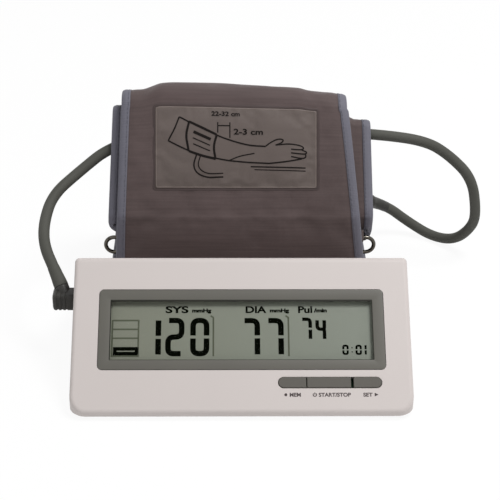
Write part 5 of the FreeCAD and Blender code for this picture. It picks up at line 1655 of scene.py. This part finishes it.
@dataclass
class Label:
    """Printed patch welded on the flap's sloping front.

    The drawing is (points, pen), and words are (words, size, lower left corner, width); both are measured
    from the patch's lower left corner.
    """

    form: CuffForm
    left: float = -46.3
    right: float = 41.7
    low: float = 13.9
    high: float = 57.2
    thickness: float = 0.3
    weld_out: float = 0.8
    weld_width: float = 1.6
    weld_height: float = 0.16
    rim_width: float = 0.8
    rim_height: float = 0.2
    sunk: float = 0.1
    strip_step: float = 1.2
    ink: float = 0.12
    letter_rise: float = 0.1
    print_down: float = 1.6
    turn: float = 3.0
    turn_steps: int = 4
    line_step: float = 0.8
    grid: tuple[int, int] = (48, 90)
    drawing: tuple[tuple[tuple[Flat, ...], float], ...] = (
        (((13, 39.5), (19, 36.6), (27, 33), (36, 29), (44, 26.4), (52, 24.6), (60, 24.2)), 0.8),
        (((7, 27), (13, 24), (19, 21.4), (28, 18.6), (40, 16.4), (52, 15.4), (62, 15)), 0.8),
        (((60, 24.2), (63, 26.6), (67, 28.4), (70, 28), (69, 26.2), (65.5, 25)), 0.7),
        (((65.5, 25), (73, 25.8), (79.5, 24.8), (81.2, 23.4), (79.8, 22.4), (74, 22.8)), 0.7),
        (((79.8, 22.4), (82.8, 21.4), (82, 20), (74, 20.8)), 0.7),
        (((82, 20), (82.2, 18.4), (80, 17.6), (74, 18.8)), 0.7),
        (((80, 17.6), (74, 16.4), (68, 15.6), (62, 15)), 0.8),
        (((40, 16.4), (46, 19), (54, 20.4)), 0.6),
        (((52, 13.2), (82, 12.6)), 0.7),
        (((54, 11.6), (82, 10.9)), 0.5),
        (((18.4, 37.2), (16.6, 30), (18.2, 21.4)), 1.2),
        (((33.5, 30.4), (31.6, 24), (32.8, 17.2)), 1.2),
        (((18.4, 37.2), (26, 33.9), (33.5, 30.4)), 1.0),
        (((18.2, 21.4), (25, 19), (32.8, 17.2)), 1.0),
        (((20.8, 31.8), (30.2, 27.8)), 1.5),
        (((20.4, 28.6), (29.8, 24.6)), 0.6),
        (((20.6, 25.4), (29.8, 21.6)), 0.6),
        (((22.5, 19.6), (20.5, 14), (22.5, 9.5), (28, 7.2), (37, 7.6)), 0.8),
        (((24.6, 19), (23, 14.2), (24.8, 11), (29, 9.2), (37, 9.6)), 0.6),
        (((34, 31.4), (34, 37)), 0.6),
        (((40.6, 28.6), (40.6, 37)), 0.6),
        (((34, 35.2), (40.6, 35.2)), 0.6),
        (((13, 39.5), (10.6, 33.4), (7, 27)), 0.8),
    )
    words: tuple[tuple[str, float, Flat, float], ...] = (
        ("22-32 cm", 2.3, (30.5, 40.4), 15.5), ("2-3 cm", 3.0, (42.6, 30.6), 16.0))

    def __post_init__(self) -> None:
        """Find where the sloping front begins, and the patch's own size."""
        self.foot = self.form.line.marks[4][1]
        self.width, self.height = self.right - self.left, self.high - self.low

    def at(self, u: float, v: float, height: float) -> Point:
        """Point at a height over the cloth, across from the label's left and up from its foot."""
        return self.form.at(self.foot + self.low + v, self.left + u, self.form.half, height)

    def weld_box(self) -> Box:
        """Along and across limits of the weld line."""
        out = self.weld_out
        return self.foot + self.low - out, self.foot + self.high + out, self.left - out, self.right + out

    def patch(self) -> bpy.types.Object:
        """Build the patch itself.

        Returns:
            The piece.
        """
        rows, columns = self.grid

        def spot(r: int, c: int) -> Flat:
            """Place on the patch."""
            return self.width * c / (columns - 1), self.height * r / (rows - 1)

        shape = Shape()
        shape.slab(rows, columns, lambda r, c: self.at(*spot(r, c), self.thickness),
                   lambda r, c: self.at(*spot(r, c), -self.sunk), spot)
        return shape.piece("label_patch", "cuff_assembly", "label_print", LABEL)

    def weld(self) -> bpy.types.Object:
        """Cloth pressed flat by the weld, just outside the patch; darker partly as pressed nylon and partly
        as painted shade of the dip beside the patch.
        """
        strip = self.strip(self.weld_out, self.weld_width, 0.0, self.weld_height)
        return strip.piece("label_weld_and_shade", "cuff_assembly", "cuff_nylon", WELD_AND_SHADE)

    def rim(self) -> bpy.types.Object:
        """The patch's own raised rim, coloured paler than the patch as a painted highlight on its edge."""
        strip = self.strip(-self.rim_width / 2, self.rim_width, self.thickness - self.sunk, self.rim_height)
        return strip.piece("label_rim_highlight", "cuff_assembly", "label_print", RIM_HIGHLIGHT)

    def strip(self, out: float, wide: float, foot: float, rise: float) -> Shape:
        """Low half-round strip that runs round the patch.

        Args:
            out: how far its middle is outside the patch's edge.
            wide: its width.
            foot: height of its sides over the cloth.
            rise: height of its middle over its sides.

        Returns:
            The strip's shape.
        """
        right, top = self.width + out, self.height + out
        corners = [Vector(corner) for corner in ((-out, -out), (right, -out), (right, top), (-out, top))]
        spots: list[Vector] = []
        for corner, after in zip(corners, corners[1:] + corners[:1]):
            run = after - corner
            count = round(run.length / self.strip_step)
            spots += [corner + run * (i + 0.5) / count for i in range(count)]
        rings = []
        for i, spot in enumerate(spots):
            way = (spots[(i + 1) % len(spots)] - spots[i - 1]).normalized()
            side = Vector((-way.y, way.x))
            ring = []
            for q in range(7):
                turn = math.pi * q / 6
                put = spot + side * (wide / 2 * math.cos(turn))
                ring.append(self.at(put.x, put.y, foot + rise * math.sin(turn)))
            rings.append(ring)
        shape = Shape()
        shape.rings(rings, looped=True)
        return shape

    def print(self) -> bpy.types.Object:
        """Print a plain drawing of an arm in a cuff, with the arm's size range.

        Returns:
            The piece.
        """
        low, high = self.thickness - self.sunk, self.thickness + self.ink
        shape = Shape()

        def drawn(u: float, v: float, height: float) -> Point:
            """Point of the drawing, which sits a little lower on the patch."""
            return self.at(u, v - self.print_down, height)

        for line, pen in self.drawing:
            bent = spaced(bowed(line, self.turn, self.turn_steps), self.line_step)
            stroke(shape, bent, pen, drawn, low, high)
        for words, size, corner, width in self.words:
            lettering(shape, words, size, corner, drawn, low, high + self.letter_rise, width)
        return shape.piece("label_drawing", "cuff_assembly", "label_print", LABEL_INK, smooth=False)


@dataclass
class Hem:
    """Sewn loop of cloth round the ring's upper bar."""

    y: float = 68.5505
    z: float = 34.1743
    radius: float = 2.6
    bore: float = 1.4
    half: float = 68.5
    neck: float = 4.4
    neck_half: float = 1.5
    neck_from: float = 0.55
    pull: float = 0.12
    lean: float = math.radians(171.943)
    points: int = 28
    columns: int = 46
    map_step: float = 0.6

    def section(self, x: float, radius: float, necked: bool) -> list[Point]:
        """One closed outline of the loop.

        Args:
            x: place across.
            radius: the outline's radius.
            necked: drawn out into the neck that is sewn to the cloth.

        Returns:
            Its points.
        """
        up = Vector((math.sin(self.lean), -math.cos(self.lean)))
        side = Vector((-up.y, up.x))
        pull = self.pull * ripple(x * 0.12, 0.0, 5.0)
        found = []
        for along, out in circle(1.0, self.points):
            reach, wide = radius * along, (radius + pull) * out
            if necked and along > self.neck_from:
                share = ease((along - self.neck_from) / (1 - self.neck_from))
                reach += share * (self.neck - radius * along)
                wide += share * (math.copysign(self.neck_half * min(1, abs(out) * 3), out) - wide)
            spot = up * reach + side * wide
            found.append((x, self.y + spot.x, self.z + spot.y))
        return found

    def build(self) -> bpy.types.Object:
        """Build the loop with its sewn neck and its bore.

        Returns:
            The piece.
        """
        places = [-self.half + 2 * self.half * i / (self.columns - 1) for i in range(self.columns)]
        rings = [self.section(x, self.radius, True) for x in places]
        rings += [self.section(x, self.bore, False) for x in reversed(places)]
        flat = [[(self.map_step * i, ring[0][0]) for i in range(self.points)] for ring in rings]
        shape = Shape()
        shape.rings(rings, flat, looped=True)
        made = shape.piece("hem_loop", "cuff_assembly", "edge_tape", NYLON)
        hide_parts("ring_hem")
        return made


@dataclass
class Cuff:
    """The cuff: two cloths, bladder, foam, edge tapes, hem, closing patches and label."""

    form: CuffForm = field(default_factory=CuffForm)
    cloth: float = 0.9
    seam: float = 0.5
    tape: float = 4.0
    play: float = 0.05
    bladder_half: float = 60.0
    bladder_start: float = 0.5
    foam_gap: float = 0.2
    patch_half: float = 48.0
    patch_start: float = 8.0
    patch_length: float = 34.0
    loop_margin: float = 6.0
    loop_extra: float = 4.0
    pile: float = 0.5
    fine: float = 3.0
    coarse: float = 4.0

    def trim(self) -> list[bpy.types.Object]:
        """Build the edge tapes with their stitches.

        Returns:
            The four pieces.
        """
        found = []
        for side, word in ((-1, "left"), (1, "right")):
            tape = EdgeTape(self.form, side)
            found.append(tape.build(f"edge_tape_{word}", f"binding_{word}", f"flap_binding_{word}"))
            found.append(tape.stitches(f"tape_stitches_{word}"))
        return found

    def patches(self) -> list[bpy.types.Object]:
        """Build the pile patch on the cuff's back and the hook patch under the flap's end.

        Returns:
            Both pieces.
        """
        line, half = self.form.line, self.form.half
        back, drop = line.marks[1][1] + self.patch_start, line.marks[5][1] + self.patch_start
        reach = back + self.patch_length + self.loop_extra + self.loop_margin
        loop = self.form.band("loop_patch", "loop_pile", "pile_loop", LOOPS, (half, half + self.pile),
                              span=(back - self.loop_margin, reach), sides=self.patch_half, step=self.fine)
        hook = self.form.band("hook_patch", "hook_pile", "hook_tape", HOOKS, (-half - self.pile, -half),
                              span=(drop, drop + self.patch_length), sides=self.patch_half, step=self.fine)
        return [loop, hook]

    def build(self) -> None:
        form, line, half = self.form, self.form.line, self.form.half
        label = Label(form)
        form.billow = Billow(form, label.weld_box())
        outer = form.band("cuff_outer_cloth", "cuff_cloth", "cuff_nylon", NYLON,
                          (half - self.cloth, half), self.seam)
        lining = form.band("cuff_lining", "lining_cloth", "cuff_lining", LINING,
                           (-half, self.cloth - half), self.seam)
        core = half - self.cloth - self.play
        bladder = form.band("air_bladder", "air_bag", "bladder_film", BLADDER, (-core, core),
                            span=(self.bladder_start, line.table), sides=self.bladder_half, step=self.coarse)
        foam = form.band("flap_foam", "flap_stiffener", "foam_sheet", FOAM, (-core, core), self.tape,
                         (line.table + self.foam_gap, line.length - self.tape), step=self.coarse)
        patches = self.patches()
        with_outer = [*self.trim(), *patches]
        patch = label.patch()
        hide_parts("cuff_label")
        with_outer += [patch, label.weld(), label.rim(), label.print(), Hem().build()]


# ---------------------------------------------------------------- hose
@dataclass
class AirLine:
    """The hose with its sleeves and its elbow plug."""

    radius: float = 3.0
    length: float = 434.0
    port_tip: Point = (77.806, 128.711, 24.770)
    route: tuple[Point, ...] = (
        (88.0, 133.3, 20.1), (102.3, 134.4, 8.1), (116.8, 125.9, 2.2), (128.7, 114.1, 6.6),
        (136.6, 106.9, 19.8), (136.8, 101.7, 32.6), (132.1, 98.8, 55.5), (118.4, 102.3, 68.5),
        (104.6, 102.0, 77.4), (79.4, 102.6, 81.0), (52.0, 101.0, 83.2), (6.0, 100.4, 82.6),
        (-43.4, 99.7, 82.8), (-72.1, 95.3, 77.0), (-89.0, 82.9, 67.3), (-101.9, 67.7, 61.2),
        (-105.2, 49.9, 54.6), (-103.9, 33.6, 49.1), (-97.0, 19.7, 41.8),
    )
    collar_tip: Point = (-93.114, 12.598, 36.199)
    plug_middle: Point = (-90.4, 8.017, 32.3)
    barrel_down: float = 0.6
    port_sleeve: tuple[Flat, ...] = (
        (0.0, 4.0), (0.5, 4.15), (1.5, 4.15), (2.0, 3.8), (5.0, 3.45), (9.0, 3.25), (13.0, 3.1))
    plug_sleeve: tuple[Flat, ...] = ((0.0, 3.7), (0.4, 3.8), (3.0, 3.7), (6.0, 3.45), (12.0, 3.15))
    barrel: tuple[Point, ...] = (
        (-6.8, 0.3, 1.0), (-6.8, 3.4, 1.2), (-6.4, 4.3, 1.5), (-5.8, 4.7, 1.6), (-4.7, 4.7, 1.6),
        (-4.5, 4.4, 1.5), (-3.8, 4.4, 1.5), (-3.6, 4.7, 1.6), (-2.5, 4.7, 1.6), (-2.3, 4.4, 1.5),
        (-1.6, 4.4, 1.5), (-1.4, 4.7, 1.6), (-0.3, 4.7, 1.6), (-0.1, 4.4, 1.5), (0.6, 4.4, 1.5),
        (0.8, 4.7, 1.6), (3.9, 4.7, 1.6), (4.7, 4.4, 1.6), (5.0, 3.8, 1.5), (5.0, 0.3, 1.0))

    def curve(self, name: str, bevel: float) -> bpy.types.Object:
        """The hose's line as one NURBS spline with its route as control points.

        Args:
            name: the curve's name.
            bevel: its radius, in metres.

        Returns:
            The curve.
        """
        data = bpy.data.curves.new(name, "CURVE")
        data.dimensions = "3D"
        data.resolution_u = 16
        data.bevel_depth = bevel
        data.bevel_resolution = 7
        data.use_fill_caps = True
        points = (self.port_tip, *self.route, self.collar_tip)
        spline = data.splines.new("NURBS")
        spline.points.add(len(points) - 1)
        for control, point in zip(spline.points, points):
            control.co = (*(c * MM for c in point), 1.0)
        spline.order_u = 3
        spline.use_endpoint_u = True
        made = bpy.data.objects.new(name, data)
        bpy.context.scene.collection.objects.link(made)
        return made

    def centreline(self) -> list[Vector]:
        """Points read from the spline, in millimetres.

        Returns:
            The points, from the cuff's outlet on.
        """
        bare = self.curve("bare_line", 0.0)
        mesh = bpy.data.meshes.new_from_object(bare)
        points = [v.co / MM for v in mesh.vertices]
        data = bare.data
        bpy.data.objects.remove(bare)
        bpy.data.curves.remove(data)
        return points

    def sleeve(self, name: str, line: list[Vector], radii: Sequence[Flat], finish: Finish,
               slot: str) -> bpy.types.Object:
        """Tapered sleeve round the start of a line.

        Args:
            name: the piece's name.
            line: the hose's points from the sleeve's root on.
            radii: (distance, radius) pairs from root to tip.
            finish: its finish.
            slot: passed on to Shape.piece, which does not use it.

        Returns:
            The piece.
        """
        gone = [0.0]
        for before, after in zip(line, line[1:]):
            gone.append(gone[-1] + (after - before).length)
        shape = Shape()
        rings = []
        side = (line[1] - line[0]).orthogonal().normalized()
        for distance, radius in radii:
            k = next(i for i in range(len(gone) - 1) if gone[i + 1] >= distance)
            spot = line[k].lerp(line[k + 1], (distance - gone[k]) / (gone[k + 1] - gone[k]))
            way = (line[k + 1] - line[k]).normalized()
            side = (side - way * side.dot(way)).normalized()
            other = way.cross(side)
            rings.append([tuple(spot + side * u + other * v) for u, v in circle(radius, 32)])
        shape.rings(rings)
        return crisp(shape.piece(name, "cuff_assembly", slot, finish), 50)

    def elbow(self) -> bpy.types.Object:
        """Elbow plug: a ribbed barrel against the case with a collar that takes the hose.

        Returns:
            The piece.
        """
        x, y, z = self.plug_middle
        shape = Shape()
        rings = []
        for along, half, corner in self.barrel:
            round_off = min(corner, half * 0.9)
            flat = half - round_off
            ring = []
            for quarter, (right, up) in enumerate(((1, 1), (-1, 1), (-1, -1), (1, -1))):
                for turn in ((quarter + i / 7) * math.pi / 2 for i in range(8)):
                    ring.append((x + along, y + flat * right + round_off * math.cos(turn),
                                 z - self.barrel_down + flat * up + round_off * math.sin(turn)))
            rings.append(ring)
        shape.rings(rings)
        way = Vector(self.collar_tip) - Vector(self.plug_middle)
        reach = way.length
        collar = [(1.0, 0.4), (1.2, 3.4), (reach - 1.6, 3.7), (reach - 0.4, 3.7), (reach, 3.5), (reach, 0.4)]
        self.turned(shape, Vector(self.plug_middle), way.normalized(), collar)
        made = shape.piece("elbow_plug", "cuff_assembly", "plug_plastic", PLUG)
        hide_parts("hose_plug")
        return crisp(made, 40)

    def turned(self, shape: Shape, root: Vector, way: Vector, outline: Sequence[Flat]) -> None:
        """Turn an outline round a line into a closed ring body.

        Args:
            shape: where it is added.
            root: where the line starts.
            way: its direction.
            outline: (along, radius) pairs.
        """
        side = way.orthogonal().normalized()
        other = way.cross(side)
        rings = [[tuple(root + way * along + side * u + other * v) for u, v in circle(radius, 40)]
                 for along, radius in outline]
        shape.rings(rings, looped=True)

    def build(self) -> None:
        hose = finished(self.curve("hose", self.radius * MM), "cuff_assembly", HOSE)
        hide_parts("air_hose")
        line = self.centreline()
        relief = self.sleeve("port_sleeve", line, self.port_sleeve, PLUG, "port_plastic")
        cuff_end = self.sleeve("plug_sleeve", line[::-1], self.plug_sleeve, HOSE, "hose_rubber")
        pieces = [relief, cuff_end, self.elbow(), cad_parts["plug_spigot"]]
        exit_point = tuple(c * MM for c in self.port_tip)


# ---------------------------------------------------------------- studio
@dataclass(frozen=True)
class Lamp:
    """A square soft lamp: its place and side in metres, its power in watts."""

    name: str
    place: Point
    size: float
    watts: float


@dataclass
class Studio:
    """Camera, lamps, world and floor, in metres."""

    place: Point = (-0.008202, -0.606218, 0.415549)
    pitch: float = math.radians(30.0)
    yaw: float = math.radians(1.0146343)
    lens: float = 100.4436
    sensor: float = 36.0
    near: float = 0.01
    target: Point = (0.0, 0.04, 0.04)
    lamps: tuple[Lamp, ...] = (
        Lamp("key", (0.5, 0.0, 1.3), 0.45, 14.5), Lamp("fill", (-0.5, -1.2, 0.7), 1.2, 1.2))
    ambient: float = 0.42
    floor_reach: float = 3.0
    floor_shades: tuple[Rgb, Rgb] = ((244, 244, 244), (250, 250, 250))
    floor_glow: float = 0.93

    def camera(self) -> None:
        """Stand the camera and make it the scene's."""
        cos_p, sin_p = math.cos(self.pitch), math.sin(self.pitch)
        cos_y, sin_y = math.cos(self.yaw), math.sin(self.yaw)
        right = Vector((cos_y, -cos_p * sin_y, sin_p * sin_y))
        up = Vector((0.0, sin_p, cos_p))
        ahead = Vector((sin_y, cos_p * cos_y, -sin_p * cos_y))
        data = bpy.data.cameras.new("camera")
        data.lens = self.lens
        data.sensor_width = self.sensor
        data.sensor_fit = "HORIZONTAL"
        data.clip_start = self.near
        made = bpy.data.objects.new("camera", data)
        bpy.context.scene.collection.objects.link(made)
        turn = Matrix((right, up, -ahead)).transposed().to_4x4()
        made.matrix_world = Matrix.Translation(self.place) @ turn
        bpy.context.scene.camera = made
        LOG.info("camera")

    def lamp(self, lamp: Lamp) -> None:
        """Hang a lamp that faces the part.

        Args:
            lamp: what it is and where it hangs.
        """
        data = bpy.data.lights.new(lamp.name, "AREA")
        data.size = lamp.size
        data.energy = lamp.watts
        made = bpy.data.objects.new(lamp.name, data)
        bpy.context.scene.collection.objects.link(made)
        made.location = lamp.place
        made.rotation_euler = (Vector(self.target) - Vector(lamp.place)).to_track_quat("-Z", "Y").to_euler()
        LOG.info("lamp %s", lamp.name)

    def world(self) -> None:
        """Plain ambient light with a white background for whatever sees it."""
        world = bpy.data.worlds.new("plain_world")
        graph = Graph(world)
        graph.set("Color", WHITE)
        graph.set("Strength", self.ambient)
        white = graph.node("ShaderNodeBackground", values={"Color": WHITE, "Strength": 1.0})
        graph.close(graph.node("ShaderNodeMixShader", values={0: graph.seen(), 1: graph.main, 2: white}))
        bpy.context.scene.world = world
        LOG.info("world")

    def floor(self) -> None:
        """A pale floor that reads white and keeps the object's shadow."""
        mesh = bpy.data.meshes.new("floor")
        r = self.floor_reach
        mesh.from_pydata([(-r, -r, 0), (r, -r, 0), (r, r, 0), (-r, r, 0)], [], [(0, 1, 2, 3)])
        made = bpy.data.objects.new("floor", mesh)
        bpy.context.scene.collection.objects.link(made)
        material = bpy.data.materials.new("floor_paper")
        graph = Graph(material)
        dark, pale = (linear(colour) for colour in self.floor_shades)
        graph.set("Base Color", graph.mix(dark, pale, graph.noise(6.0)))
        graph.set("Roughness", 0.9)
        glow = graph.node("ShaderNodeEmission", values={"Color": WHITE, "Strength": 1.0})
        share = graph.seen() * self.floor_glow
        graph.close(graph.node("ShaderNodeMixShader", values={0: share, 1: graph.main, 2: glow}))
        mesh.materials.append(material)
        LOG.info("floor")

    def build(self) -> None:
        """Set the whole stage."""
        self.camera()
        self.world()
        self.floor()
        for lamp in self.lamps:
            self.lamp(lamp)
        bpy.context.scene.view_settings.view_transform = "Standard"


def main() -> None:
    """Build the stage, the hose, the desk unit and the cuff, in that order."""
    logging.basicConfig(level=logging.INFO, format="%(message)s")
    Studio().build()
    AirLine().build()
    DeskUnit().build()
    Cuff().build()


if __name__ == "__main__":
    main()
